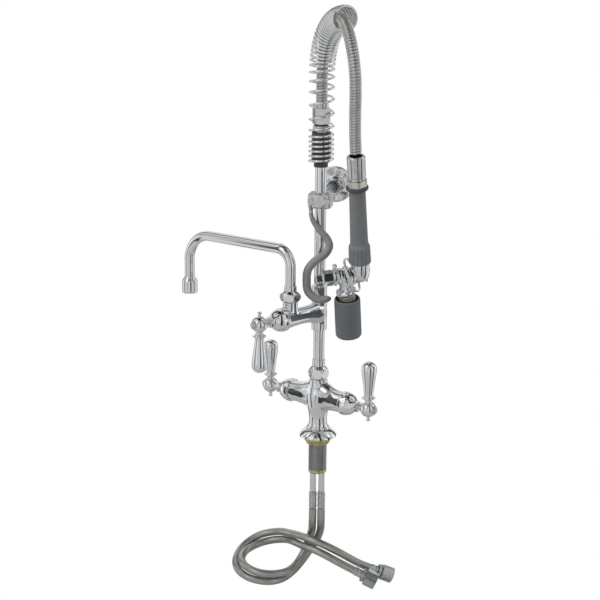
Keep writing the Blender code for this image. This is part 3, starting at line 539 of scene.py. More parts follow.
def box(name, where, low, high, rounding=0.0, steps=3):
    """Box between two corners of a frame with rounded edges."""
    shape = bmesh.new()
    size = [high[i] - low[i] for i in range(3)]
    middle = [(high[i] + low[i]) / 2 for i in range(3)]
    bmesh.ops.create_cube(shape, size=1.0,
                          matrix=Matrix.Translation(middle) @ Matrix.Diagonal((*size, 1.0)))
    if rounding:
        bmesh.ops.bevel(shape, geom=shape.edges[:], offset=rounding, segments=steps,
                        profile=0.5, affect='EDGES')
    shape.transform(where)
    return name, shape


def casting(name, solids, voxel, rounds, roughen=0.0):
    """One smooth body from overlapping closed solids, with soft fillets where they meet."""
    joined = bmesh.new()
    for _, solid in solids:
        part = bpy.data.meshes.new("solid")
        solid.to_mesh(part)
        solid.free()
        joined.from_mesh(part)
        bpy.data.meshes.remove(part)
    mesh = bpy.data.meshes.new(name + "_joined")
    joined.to_mesh(mesh)
    joined.free()
    lump = bpy.data.objects.new(name + "_joined", mesh)
    bpy.context.scene.collection.objects.link(lump)
    remesh = lump.modifiers.new("skin", 'REMESH')
    remesh.mode = 'VOXEL'
    remesh.voxel_size = voxel
    soften = lump.modifiers.new("soften", 'SMOOTH')
    soften.factor, soften.iterations = 0.5, rounds
    bpy.context.view_layer.update()
    result = bpy.data.meshes.new_from_object(lump.evaluated_get(bpy.context.evaluated_depsgraph_get()))
    shape = bmesh.new()
    shape.from_mesh(result)
    bpy.data.objects.remove(lump)
    bpy.data.meshes.remove(mesh)
    bpy.data.meshes.remove(result)
    if roughen:
        for vertex in shape.verts:
            shake = noise.fractal(vertex.co * 0.35, 1.0, 2.0, 3)
            vertex.co += vertex.normal * shake * roughen
    return name, shape


# ---- deck flange, shank, lock nut and base body -------------------------------------------------
UPRIGHT = place()
THREAD_PITCH, THREAD_DEPTH = 1.9, 0.7
SEAT_X = LEVER_REACH - HUB_TO_SEAT


def thread(radius, high, low, pitch=THREAD_PITCH, depth=THREAD_DEPTH):
    """Outline (as a function of the angle) and relief of a screw thread between two heights."""
    steps = round((high - low) / pitch * 4)

    def crest(angle, height):
        turn = (height / pitch - angle / (2 * math.pi)) % 1.0
        return 1.0 - abs(2 * turn - 1.0)

    def at(angle):
        heights = [high + (low - high) * i / steps for i in range(steps + 1)]
        return [(radius - depth * (1 - crest(angle, z)), z) for z in heights]

    return at, lambda r, angle, z: crest(angle, z)


def make_base():
    flange = (flowing([(17.4, FLANGE_H), (18.6, 11.6), (20.8, 10.4), (23.6, 8.2), (26.2, 5.4),
                       (27.8, 3.4), (FLANGE_R, 1.8)])
              + [(FLANGE_R, 0.0), (22.5, 0.0), (22.5, 1.6), (14.6, 1.6), (14.6, FLANGE_H)])
    piece(lathe("deck_flange_shell", UPRIGHT, flange, 96, closed=True), CHROME,
          nodes=["deck_flange"])
    piece(lathe("deck_gasket", UPRIGHT, rounded([(22.2, 1.3), (22.2, -1.4), (14.4, -1.4),
                                                  (14.4, 1.3)], 0.4, True), 72, closed=True),
          DARK_POLYMER)
    column = lathe("column", UPRIGHT, [(0, BODY_TOP_Z)] + rounded(
        [(13.8, BODY_TOP_Z), (13.8, 84)], 1.2) + flowing(
        [(15.0, 80), (17.6, 71), (18.2, 61), (17.0, 48), (15.2, 38), (14.0, 30), (13.8, 24),
         (14.4, 18), (16.6, FLANGE_H + 0.3)]) + [(0, FLANGE_H + 0.3)])
    along = place((0, 0, BODY_AXIS_Z), (1, 0, 0), (0, 0, 1))

    def arm_outline(angle):
        """Round at its ends; towards the column it deepens above and below, not sideways."""
        up = math.cos(angle) ** 2 * (1.0 if math.cos(angle) > 0 else 0.42)
        half = [(15.2, SEAT_X - 3), (15.4 + 0.6 * up, 46), (15.2 + 1.6 * up, 36),
                (15.0 + 3.8 * up, 27), (14.8 + 7.4 * up, 19), (15.0 + 10.8 * up, 10)]
        middle = [(15.4 + 12.6 * up, 0)]
        back_half = [(r, -x) for r, x in reversed(half)]
        return [(0, SEAT_X), (15.0, SEAT_X)] + flowing(half + middle + back_half, 4) + [
            (15.0, -SEAT_X), (0, -SEAT_X)]

    arm = lathe("arm", along, arm_outline)
    piece(casting("base_casting", [column, arm], 0.8, 16), CAST_CHROME,
          nodes=["base_body"])
    foot = rounded([(17.6, 15.0), (18.0, 13.6), (17.6, 12.2), (16.0, 12.2), (16.0, 15.0)], 0.6, True)
    piece(lathe("base_foot_ring", UPRIGHT, foot, 72, closed=True), CHROME)


def make_shank():
    at, relief = thread(SHANK_R, 20.0, SHANK_END_Z + 5.2)
    inside = [(SHANK_BORE_R, SHANK_END_Z + 5.2), (SHANK_BORE_R, 20.0)]
    piece(lathe("threaded_shank", UPRIGHT, lambda angle: at(angle) + inside, 60, closed=True,
                relief=relief), SHANK_STEEL, nodes=["mounting_shank"], sharp=60)
    lip = rounded([(SHANK_R - 0.2, SHANK_END_Z + 5.0), (SHANK_R + 0.1, SHANK_END_Z + 1.4),
                   (SHANK_R - 0.8, SHANK_END_Z), (SHANK_BORE_R, SHANK_END_Z),
                   (SHANK_BORE_R, SHANK_END_Z + 5.0)], 0.5, True)
    piece(lathe("shank_end_ring", UPRIGHT, lip, 60, closed=True), BRASS)
    nut = rounded([(21.3, -2.6), (21.3, -5.4), (18.6, -8.8), (16.6, -12.6),
                   (SHANK_R + 0.3, -12.6), (SHANK_R + 0.3, -2.6)], 0.7, True)

    def notched(angle):
        bite = max(0.0, math.cos(angle * 6) - 0.55) * 2.4
        return [(r - (bite if r > 17.5 else 0.0), z) for r, z in nut]

    piece(lathe("lock_nut_body", UPRIGHT, notched, 144, closed=True), BRASS,
          nodes=["lock_nut"])


make_base()
make_shank()


# ---- the three valves ---------------------------------------------------------------------------
def ball(radius, top, bottom, steps):
    """Outline points on a sphere from one height down to another."""
    first, last = math.asin(top / radius), math.asin(bottom / radius)
    return [(radius * math.cos(first + (last - first) * i / steps),
             radius * math.sin(first + (last - first) * i / steps)) for i in range(steps + 1)]


LEVER_OUTLINE = (
    flowing([(0, 72.5), (4.6, 71.6), (8.6, 69.0), (11.0, 64.6), (11.5, 59.5), (10.6, 51.0),
             (8.7, 37.0), (7.0, 24.0), (6.7, 20.2)])
    + rounded([(6.9, 19.4), (10.0, 18.6), (10.0, 16.2), (6.6, 15.0), (5.6, 13.6), (5.6, 12.0)], 0.9)
    + ball(HUB_R, 10.8, -11.9, 20)
    + flowing([(2.2, -13.4), (2.3, -14.8), (3.3, -16.4), (2.6, -18.2), (0, -19.0)], 4))


def make_valve(side, body, hub, outward, handle):
    """Visible pieces of one valve: bonnet and its packing nut, stem, lever and index button."""
    along = place(hub, outward, handle)
    bell = (flowing([(7.6, -19.8), (8.4, -22.6), (10.4, -25.4), (13.4, -29.0), (15.8, -33.0),
                     (17.2, -37.4)]) + rounded([(17.2, -37.4), (17.8, -40.6), (17.8, -45.4),
                                                (16.6, -46.4), (15.8, -46.4)], 0.7)
            + [(15.2, 0.1 - HUB_TO_SEAT), (5.4, 0.1 - HUB_TO_SEAT), (5.4, -19.8)])
    piece(lathe(f"bonnet_shell_{side}", along, bell, 72, closed=True), CHROME,
          nodes=[f"bonnet_{side}"])
    packing = hexed(15.6, -21.5, -16.6, 5.3, 0.84)
    piece(lathe(f"packing_nut_{side}", along, packing, 72, closed=True), CHROME)
    piece(lathe(f"stem_shaft_{side}", along, rounded(
        [(0, -5.3), (5.0, -5.3), (5.0, -51.5), (0, -51.5)], 0.5), 48), CHROME, body,
        [f"stem_{side}"])
    piece(lathe(f"lever_handle_{side}", place(hub, handle, outward), LEVER_OUTLINE, 72), CHROME,
          body, [f"lever_{side}"], sharp=50)
    button = flowing([(0, 14.2), (3.2, 14.0), (5.0, 13.2), (6.0, 12.0)]) + [(6.4, 10.8), (6.4, 9.0),
                                                                            (0, 9.0)]
    piece(lathe(f"index_cap_{side}", along, button, 48), SATIN, body,
          [f"index_{side}"])


ADDON_OUT = direction(ADDON_HEADING)
make_valve("cold", "cold_lever", (LEVER_REACH, 0, BODY_AXIS_Z), (1, 0, 0), (0, 0, 1))
make_valve("hot", "hot_lever", (-LEVER_REACH, 0, BODY_AXIS_Z), (-1, 0, 0), (0, 0, 1))
make_valve("addon", "addon_lever", ADDON_OUT * ADDON_REACH + Vector((0, 0, ADDON_Z)), ADDON_OUT,
           (0, 0, -1))


# ---- riser and add-on faucet --------------------------------------------------------------------
def bush(name, where, outer, inner, low, high, soft, material, body=ROOT, nodes=()):
    """Round bush with softened edges."""
    outline = rounded([(outer, high), (outer, low), (inner, low), (inner, high)], soft, True)
    return piece(lathe(name, where, outline, 64, closed=True), material, body, nodes)


def make_riser():
    piece(lathe("riser_dome_nut", UPRIGHT, acorn(27.6, BODY_TOP_Z + 0.3, 109.5, PIPE_R, 12.6, 10.6),
                120, closed=True), CHROME, nodes=["riser_nut"], sharp=24)
    bush("riser_sleeve", UPRIGHT, 10.0, PIPE_R + 0.1, 109.8, 120.3, 0.8, CHROME,
         nodes=["riser_collar"])
    bush("riser_pipe_lower", UPRIGHT, PIPE_R, 6.4, 75.5, ADDON_Z + 6.7, 0.4, CHROME,
         nodes=["lower_riser"])
    bush("riser_pipe_upper", UPRIGHT, PIPE_R, 6.4, ADDON_Z + 7.3, NUT_IN_SPRING_Z - 0.3, 0.4,
         CHROME, nodes=["upper_riser"])


def make_addon():
    swivel = ADDON_OUT * SWIVEL_REACH
    seat = ADDON_REACH - HUB_TO_SEAT
    line = place((0, 0, ADDON_Z), ADDON_OUT, (0, 0, 1))
    sleeve = lathe("sleeve", UPRIGHT, [(0, 234)] + rounded([(11.7, 234), (11.7, 166)], 1.0)
                   + [(0, 166)])
    arm = lathe("arm", line, [(0, seat), (15.2, seat)] + flowing(
        [(15.4, seat - 3), (15.2, 69), (14.2, 56), (13.2, 44), (12.8, 30), (13.8, 19), (15.4, 10)])
        + [(15.8, 2), (11.0, -4), (0, -4)])
    neck = lathe("neck", place(swivel), [(0, NECK_TOP_Z)] + flowing(
        [(11.6, NECK_TOP_Z - 0.4), (11.2, NECK_TOP_Z - 4), (11.6, ADDON_Z + 14),
         (13.0, ADDON_Z + 4)]) + [(0, ADDON_Z)])
    piece(casting("addon_casting", [sleeve, arm, neck], 0.8, 8), CAST_CHROME,
          nodes=["addon_body"])
    top = place(swivel)
    piece(lathe("swivel_nut", top, acorn(27.4, NECK_TOP_Z + 0.3, 233.6, NOZZLE_R, 12.4, 10.2), 120,
                closed=True), CHROME, nodes=["nozzle_nut"], sharp=24)
    bush("nozzle_collar", top, 9.4, NOZZLE_R, 233.9, 241.3, 0.9, CHROME, "nozzle",
         ["nozzle_ferrule"])


def bend(centre, start, normal, degrees, steps):
    """Points of an arc that starts at start and turns about normal through centre."""
    centre, offset = Vector(centre), Vector(start) - Vector(centre)
    return [centre + Matrix.Rotation(math.radians(degrees * i / steps), 3, Vector(normal)) @ offset
            for i in range(steps + 1)]


def make_nozzle():
    swivel = ADDON_OUT * SWIVEL_REACH
    run = swivel + Vector((0, 0, NOZZLE_RUN_Z))
    far = run - Vector((NOZZLE_REACH, 0, 0))
    path = ([swivel + Vector((0, 0, NOZZLE_END_Z))]
            + bend(run + Vector((-LEG_BEND_R, 0, -LEG_BEND_R)), run + Vector((0, 0, -LEG_BEND_R)),
                   (0, -1, 0), 90, 20)
            + bend(far + Vector((OUTLET_BEND_R, 0, -OUTLET_BEND_R)),
                   far + Vector((OUTLET_BEND_R, 0, 0)), (0, -1, 0), 90, 28)
            + [far + Vector((0, 0, NOZZLE_END_Z - NOZZLE_RUN_Z))])
    piece(tube("nozzle_tube", path, NOZZLE_R, 48), CHROME, "nozzle", ["swing_nozzle"])
    outlet = place((far.x, far.y, 0))
    shell = rounded([(8.3, 226.0), (9.2, 223.8), (11.8, 219.8), (12.3, 217.6), (12.3, 203.0),
                     (11.7, OUTLET_END_Z), (10.2, OUTLET_END_Z), (10.2, 213.0),
                     (NOZZLE_R, 216.0), (NOZZLE_R, 226.0)], 0.8, True)
    piece(lathe("outlet_shell", outlet, shell, 64, closed=True), CHROME, "nozzle",
          ["outlet_tip"])
    screen = rounded([(0, 203.4), (9.9, 203.4), (9.9, 201.2), (8.6, 200.6)], 0.3)
    rings = [(8.0 - i * 1.6, 200.7 + (0.9 if i % 2 else 0.0)) for i in range(5)]
    piece(lathe("aerator", outlet, screen + rings + [(0, 200.8)], 48), DARK_POLYMER,
          "nozzle")


make_riser()
make_addon()
make_nozzle()


# ---- wall bracket and finger hook ---------------------------------------------------------------
WALL_OUT = direction(WALL_HEADING)
CLAMP_FRAME = place((0, 0, CLAMP_Z), WALL_OUT, (0, 0, 1))
CLAMP_HALF_W, CLAMP_DEPTH, SCREW_SIDE = 17.5, 14.0, 12.6
PLATE_SCREW_UP, PLATE_SCREW_SIDE = 18.2, 3.6


def hollowed(flats, reach, high, deep):
    """Screw head outline with a hexagon socket in its top."""
    def at(angle):
        sector = math.pi / 3
        off = (angle + sector / 2) % sector - sector / 2
        inner = flats / 2 / math.cos(off)
        return [(0, high - deep), (inner, high - deep), (inner, high)] + rounded(
            [(reach * 0.8, high), (reach, high), (reach, high - 2.4), (reach * 0.6, high - 2.4)],
            0.5) + [(reach * 0.6, high - 14), (0, high - 14)]
    return at


def make_bracket():
    half_h = CLAMP_H / 2
    front = box("front", CLAMP_FRAME, (-half_h, -CLAMP_HALF_W, -CLAMP_DEPTH),
                (half_h, CLAMP_HALF_W, -0.4), 4.6, 4)
    lug = lathe("lug", place((0, 0, CLAMP_Z), WALL_OUT, (0, 0, 1)),
                [(0, -8), (11.2, -8), (9.6, -15.4), (0, -15.4)])
    piece(casting("clamp_front_casting", [front, lug], 0.7, 5, 0.45), CASTING,
          nodes=["clamp_front"], sharp=60)
    back = box("back", CLAMP_FRAME, (-half_h, -CLAMP_HALF_W, 0.4), (half_h, CLAMP_HALF_W, CLAMP_DEPTH),
               4.6, 4)
    boss = lathe("boss", CLAMP_FRAME, [(0, 27)] + rounded([(10.0, 27), (10.6, 10)], 1.5) + [(0, 8)])
    piece(casting("clamp_back_casting", [back, boss], 0.7, 5, 0.45), CASTING,
          nodes=["clamp_back"], sharp=60)
    across = WALL_OUT.cross(Vector((0, 0, 1)))
    for side, offset in (("right", SCREW_SIDE), ("left", -SCREW_SIDE)):
        where = place(Vector((0, 0, CLAMP_Z)) + across * offset, -WALL_OUT, (0, 0, 1))
        piece(lathe(f"clamp_screw_head_{side}", where, hollowed(3.6, 4.1, 17.4, 2.2), 48),
              NUT_STEEL, nodes=[f"clamp_screw_{side}"])
    bush("bracket_bar", CLAMP_FRAME, ROD_R, 0.6, 13.8, WALL_REACH - 6.5, 0.5, ROD_STEEL,
         nodes=["bracket_rod"])
    reach = WALL_REACH
    piece(lathe("bracket_lock_nut", CLAMP_FRAME, hexed(18.0, reach - 28.5, reach - 20.4,
                                                        ROD_R + 0.1, 0.88), 72, closed=True),
          ROD_STEEL, sharp=24)
    plate = ([(0, reach), (28.4, reach)] + flowing(
        [(28.6, reach - 1.2), (28.2, reach - 3.4), (26.4, reach - 4.8), (20.0, reach - 5.4),
         (14.4, reach - 6.2), (12.0, reach - 8.4), (11.2, reach - 12.0), (10.8, reach - 17.0)])
        + [(10.0, reach - 20.0), (ROD_R + 0.3, reach - 20.0), (ROD_R + 0.3, reach - 6.2),
           (0, reach - 6.2)])
    piece(lathe("wall_plate", CLAMP_FRAME, plate, 96), CHROME, nodes=["wall_flange"])
    for name, sign in (("upper", 1), ("lower", -1)):
        middle = (Vector((0, 0, CLAMP_Z + PLATE_SCREW_UP * sign)) + WALL_OUT * (reach - 5.2)
                  + across * PLATE_SCREW_SIDE * sign)
        where = place(middle, -WALL_OUT, (0, 0, 1))
        head = [(0, -0.6), (0.9, -0.6), (0.9, 0.5), (3.2, 0.9), (4.6, 0.3), (4.8, -0.6), (0, -2.0)]
        piece(lathe(f"plate_screw_{name}", where, head, 40), NUT_STEEL)


def make_hook():
    path = smooth_route(HOOK_ROUTE, 1.6)

    def reach(share):
        spot_ = share * (len(HOOK_RADII) - 1)
        low = min(int(spot_), len(HOOK_RADII) - 2)
        size = HOOK_RADII[low] + (HOOK_RADII[low + 1] - HOOK_RADII[low]) * (spot_ - low)
        return size * math.sqrt(min(1.0, (1 - share) * 30 + 0.05))

    piece(tube("coated_hook", path, reach, 28), HOOK_COATING, nodes=["finger_hook"])
    stub = place(Vector(HOOK_ROUTE[0]) - Vector((0, 0, 12)))
    piece(lathe("hook_stub", stub, rounded([(0, 3.4), (3.3, 3.4), (3.3, -4.6), (0, -4.6)], 0.6), 32),
          NUT_STEEL)


make_bracket()
make_hook()

# ---- spring, its seat and the flexible hose -----------------------------------------------------
ARCH_OUT = direction(ARCH_HEADING)
ARCH_SIDE = Vector((0, 0, 1)).cross(ARCH_OUT)
ARCH_START = ARCH_Z - SPRING_Z
SPRING_LENGTH = ARCH_START + ARCH_R * math.pi / 2 + 3.0
# Pitch of the coil at so many mm along its centre line: tight, open, then tight over the arch.
PITCHES = ((0.0, 7.0), (36.0, 7.0), (50.0, 15.0), (66.0, 20.8), (88.0, 20.0), (106.0, 15.6),
           (122.0, 13.6), (140.0, 7.6), (150.0, 6.5), (SPRING_LENGTH, 6.3))


def pitch_at(travel):
    for (low, first), (high, second) in zip(PITCHES, PITCHES[1:]):
        if travel <= high:
            return first + (second - first) * (travel - low) / (high - low)
    return PITCHES[-1][1]


def spring_centre(travel):
    """Centre line point, its outward side and its binormal, at so many mm along."""
    if travel <= ARCH_START:
        return Vector((0, 0, SPRING_Z + travel)), ARCH_OUT, ARCH_SIDE
    angle = min((travel - ARCH_START) / ARCH_R, math.pi / 2)
    extra = travel - ARCH_START - angle * ARCH_R
    centre = (ARCH_OUT * (ARCH_R * (1 - math.cos(angle)) + extra)
              + Vector((0, 0, ARCH_Z + ARCH_R * math.sin(angle))))
    return centre, ARCH_OUT * math.cos(angle) - Vector((0, 0, 1)) * math.sin(angle), ARCH_SIDE


def make_spring():
    path, travel, turns = [], 0.0, math.radians(200) / (2 * math.pi)
    step = 1 / 28
    while travel < SPRING_LENGTH:
        centre, outward, binormal = spring_centre(travel)
        angle = 2 * math.pi * turns
        path.append(centre + (outward * math.cos(angle) + binormal * math.sin(angle)) * SPRING_R)
        turns += step
        travel += pitch_at(travel) * step
    piece(tube("spring_coil", path, SPRING_WIRE_R, 12), WIRE_CHROME, nodes=["spring"])
    seat = rounded([(13.8, 462), (13.8, 418.6), (10.4, 417.2), (10.4, 410.8), (PIPE_R, 410.8),
                    (PIPE_R, 462)], 0.8, True)
    piece(lathe("spring_holder", UPRIGHT, seat, 64, closed=True), DARK_POLYMER,
          nodes=["spring_seat"])
    piece(lathe("inlet_nut_body", UPRIGHT, hexed(23.6, 473.5, 497.0, 6.0, 0.86), 96, closed=True),
          NUT_STEEL, nodes=["hose_inlet_nut"], sharp=24)
    bush("inlet_nut_flange", UPRIGHT, 12.6, 6.0, NUT_IN_SPRING_Z, 471.0, 0.8, NUT_STEEL)
    bush("inlet_nut_neck", UPRIGHT, 10.6, 6.0, 470.6, 474.0, 0.3, DARK_POLYMER)
    bush("inlet_crimp", UPRIGHT, 10.2, 6.0, 496.6, HOSE_START_Z - 0.3, 0.8, NUT_STEEL)


RIB_PITCH, RIB_DEPTH = 4.2, 1.25


def rib(travel, angle):
    """Interlocked strip: round ribs that wind slowly round the hose."""
    turn = (travel / RIB_PITCH - angle / (2 * math.pi)) % 1.0
    height = max(0.0, 1 - abs(2 * turn - 1) ** 2.2) ** 0.6
    return (height - 1) * RIB_DEPTH, height


def make_hose():
    path = smooth_route(HOSE_ROUTE, 0.52)
    hose = piece(tube("ribbed_hose", path, HOSE_R, 28, rib), HOSE_STEEL,
                 nodes=["flexible_hose"], sharp=75)


make_spring()
make_hose()

# ---- grip and spray valve -----------------------------------------------------------------------
GRIP_UP = (GRIP_HEAD - GRIP_FOOT).normalized()
BONNET_OUT = direction(BONNET_HEADING)
BONNET_OUT = (BONNET_OUT - BONNET_OUT.dot(GRIP_UP) * GRIP_UP).normalized()
VIEW_SIDE = GRIP_UP.cross(BONNET_OUT)


def spot(out, side, up):
    """Point in the spray valve's frame, in mm."""
    return GRIP_FOOT + BONNET_OUT * out + VIEW_SIDE * side + GRIP_UP * up


GRIP_LINE = place(GRIP_FOOT, GRIP_UP, BONNET_OUT)
BARREL_LINE = place(spot(0, 0, BARREL_G), BONNET_OUT, GRIP_UP)
HEAD_LINE = place(spot(HEAD_OUT, 0, 0), GRIP_UP, BONNET_OUT)
PLUNGER_LINE = place(spot(LEVER_OUT, 0, BARREL_G), -VIEW_SIDE, GRIP_UP)
PIN_LINE = place(spot(LEVER_OUT, PIN_SIDE, PIN_G), BONNET_OUT, GRIP_UP)


def make_grip():
    nut = rounded([(9.4, 164.5), (11.6, 164.5), (13.2, 162.6), (13.2, 135.0), (12.6, 134.0),
                   (12.6, 132.0), (13.2, 131.2), (13.2, 130.0), (9.4, 130.0)], 0.7, True)
    piece(lathe("hose_end_sleeve", GRIP_LINE, nut, 72, closed=True), NUT_STEEL,
          nodes=["hose_outlet_nut"])
    piece(lathe("hose_lock_nut", GRIP_LINE, hexed(26.2, 119.4, 129.8, 9.6, 0.9), 96, closed=True),
          PALE_BRASS, sharp=24)
    washer = flowing([(10.0, 119.2), (13.0, 119.4), (15.6, 118.8), (16.2, 116.6), (15.6, 114.4),
                      (13.0, 113.4), (10.0, 113.4)])
    piece(lathe("grip_washer", GRIP_LINE, washer, 64, closed=True), DARK_POLYMER,
          nodes=["hose_washer"])

    def fluted(angle):
        flute = max(0.0, math.cos(16 * angle)) ** 0.7
        profile = flowing([(11.3, 112.4), (11.8, 108.0), (11.9, 96.0), (12.3, 70.0), (12.7, 46.0),
                           (13.0, 33.0), (13.6, 30.0), (14.9, 27.4), (15.6, 24.0), (15.8, 14.0),
                           (16.1, 3.0), (15.4, 0.6)])
        cut = [(r - (1.0 * flute * min(1.0, max(0.0, (26.0 - z) / 5.0)) if z > 1.5 else 0.0), z)
               for r, z in profile]
        return [(0, 113.0), (10.4, 113.0)] + cut + [(14.4, 0), (0, 0)]

    piece(lathe("grip_sleeve", GRIP_LINE, fluted, 192), GRIP_RUBBER, nodes=["grip"])


def make_valve_body():
    elbow = lathe("elbow", GRIP_LINE, [(0, 6), (12.4, 6)] + flowing(
        [(12.8, 2), (13.6, -3.0), (14.1, -9.0), (13.8, -16.0), (12.2, -23.0), (8.0, -28.4)])
        + [(0, -31.0)])
    barrel = lathe("barrel", BARREL_LINE, [(0, 34.0), (11.8, 34.0), (11.4, 14), (11.4, 0), (0, 0)])
    head = lathe("head", HEAD_LINE, [(0, -12), (9, -12)] + flowing(
        [(11.6, -15), (11.4, -26), (10.4, -32), (10.6, -37.0), (11.4, -40.0)]) + [(0, -42.0)])
    boss = lathe("boss", PLUNGER_LINE, [(0, 17.6), (7.4, 17.6), (7.6, 4), (0, 4)])
    frame_block = Matrix((BONNET_OUT, VIEW_SIDE, GRIP_UP)).transposed().to_4x4()
    frame_block.translation = GRIP_FOOT
    ears = [box("ear", frame_block, (LEVER_OUT + low, PIN_SIDE - 3.4, PIN_G - 3.2),
                (LEVER_OUT + high, -2.0, -19.0), 1.0)
            for low, high in ((6.4, 9.8), (-9.8, -6.4))]
    piece(casting("valve_casting", [elbow, barrel, head, boss] + ears, 0.6, 6), CAST_CHROME,
          "spray_valve", ["valve_body"])
    tilted = place(spot(HEAD_OUT + 1.5, 1.0, -41.0), GRIP_UP + BONNET_OUT * 0.16, BONNET_OUT)
    ring_ = rounded([(0, 2.6), (12.4, 2.6), (14.6, 1.0), (15.2, -1.4), (14.2, -3.0), (11.0, -3.4),
                     (0, -3.4)], 0.8)
    piece(lathe("head_flange", tilted, ring_, 72), CHROME, "spray_valve")
    neck = rounded([(0, -41), (10.6, -41), (10.6, -47.6), (12.0, -48.6), (12.0, -52.0),
                    (10.8, -53.0), (10.8, -57.0), (0, -57.0)], 0.6)
    piece(lathe("head_neck", HEAD_LINE, neck, 64), OLD_BRASS, "spray_valve")
    collar = hexed(24.6, 17.5, 25.5, 0.0, 0.9)

    def stack(angle):
        flats = collar(angle)[1:-1]
        return [(0, 33.0)] + rounded([(12.6, 33.0), (12.6, 29.4), (10.6, 28.0), (10.6, 26.0)],
                                     0.6) + flats + [(10.8, 16.0), (0, 16.0)]

    piece(lathe("barrel_collar", BARREL_LINE, stack, 96), CHROME, "spray_valve",
          sharp=26)
    cap = place(spot(13.0, 9.0, BARREL_G - 3.0), VIEW_SIDE, GRIP_UP)
    dome = [(0, 6.8)] + flowing([(2.2, 6.6), (4.8, 5.6), (5.6, 4.2)]) + rounded(
        [(5.6, 4.0), (7.0, 3.6), (7.2, 1.2), (6.4, 0.0), (6.0, -5.0)], 0.5) + [(0, -5.0)]
    piece(lathe("check_cap", cap, dome, 48), CHROME, "spray_valve")


def make_bonnet():
    hexagon = hexed(20.4, 42.0, 55.0, 0.0, 0.88)
    tail = rounded([(0, 67.0), (5.8, 67.0), (7.0, 65.6), (7.0, 57.0), (8.0, 55.6)], 0.8)
    flange = rounded([(8.8, 41.6), (12.6, 40.2), (12.8, 36.8), (9.0, 35.6), (9.0, 33.4),
                      (7.1, 33.4), (7.1, 20.0)], 0.7)

    def outline(angle):
        flats = hexagon(angle)[1:-1]
        return tail + flats + flange + [(0, 20.0)]

    piece(lathe("bonnet_body", BARREL_LINE, outline, 96), CHROME, "spray_valve",
          ["valve_bonnet"], sharp=30)
    for name, low in (("inner", 58.4), ("outer", 61.6)):
        groove = rounded([(7.2, low + 1.3), (7.2, low), (6.6, low), (6.6, low + 1.3)], 0.2, True)
        piece(lathe(f"bonnet_ring_{name}", BARREL_LINE, groove, 48, closed=True), DARK_POLYMER,
              "spray_valve")
    knob = place(spot(38.0, 3.0, -1.5), GRIP_UP, BONNET_OUT)
    stalk = flowing([(0, 5.6), (2.6, 4.8), (3.6, 2.6), (3.0, 0.4), (1.9, -1.2), (1.9, -5.5)]) + [
        (0, -5.5)]
    piece(lathe("bonnet_knob", knob, stalk, 40), CHROME, "spray_valve")
    lug = place(spot(33.5, 8.0, -41.5), VIEW_SIDE, GRIP_UP)
    shape = rounded([(0, 4.4), (3.4, 4.4), (4.6, 2.8), (4.6, -1.4), (2.4, -3.4), (2.4, -10.0),
                     (0, -10.0)], 0.7)
    piece(lathe("body_lug", lug, shape, 40), CASTING, "spray_valve")


def make_lever():
    press = flowing([(0, 24.4), (3.0, 24.2), (4.6, 23.4), (5.0, 22.0), (5.0, 20.8)]) + [
        (3.9, 20.4), (3.9, 11.6), (0, 11.6)]
    piece(lathe("plunger_button", PLUNGER_LINE, press, 40), SATIN, "plunger",
          ["plunger"])
    piece(lathe("lever_pin_rod", PIN_LINE, rounded(
        [(0, 10.6), (2.9, 10.6), (2.9, 9.9), (1.9, 9.6), (1.9, -9.6), (2.9, -9.9), (2.9, -10.6),
         (0, -10.6)], 0.3), 32), NUT_STEEL, "spray_valve", ["lever_pin"])
    outline = ((-34.6, -23.4), (-31.0, -24.8), (-26.0, -26.6), (-18.0, -27.4), (0.0, -27.6),
               (30.0, -29.2), (60.0, -32.0), (86.0, -36.2), (95.0, -39.4), (97.0, -37.6),
               (88.0, -33.8), (60.0, -29.4), (30.0, -26.6), (0.0, -25.0), (-18.0, -24.8),
               (-23.8, -24.2), (-26.4, -20.5), (-28.0, -17.8), (-32.0, -17.4), (-35.0, -20.2))
    shape = bmesh.new()
    plates = [[shape.verts.new(spot(LEVER_OUT + offset, side, up)) for up, side in outline]
              for offset in (-6.0, 6.0)]
    for plate in plates:
        shape.faces.new(plate)
    count = len(outline)
    for i in range(count):
        k = (i + 1) % count
        shape.faces.new((plates[0][i], plates[0][k], plates[1][k], plates[1][i]))
    bmesh.ops.recalc_face_normals(shape, faces=shape.faces)
    bmesh.ops.bevel(shape, geom=shape.edges[:], offset=0.7, segments=3, profile=0.5,
                    affect='EDGES', clamp_overlap=True)
    piece(("lever_strip", shape), CHROME, "squeeze_lever", ["squeeze_lever"])


def make_ring():
    """Hold-down loop: two close turns of bright wire."""
    centre, radius = spot(11.0, -7.0, -21.5), 25.5
    normal = (BONNET_OUT * 0.88 - GRIP_UP * 0.40 - VIEW_SIDE * 0.27).normalized()
    start = (VIEW_SIDE - VIEW_SIDE.dot(normal) * normal).normalized() * radius
    across = normal.cross(start)
    turns, steps = 2, 64
    path = [centre + start * math.cos(a) + across * math.sin(a)
            + normal * 2.6 * (i / (turns * steps) - 0.5)
            for i in range(turns * steps + 1) for a in [2 * math.pi * i / steps]]
    piece(tube("hold_down_loop", path, 1.15, 12), WIRE_CHROME, "hold_down_ring",
          ["hold_down_ring"])


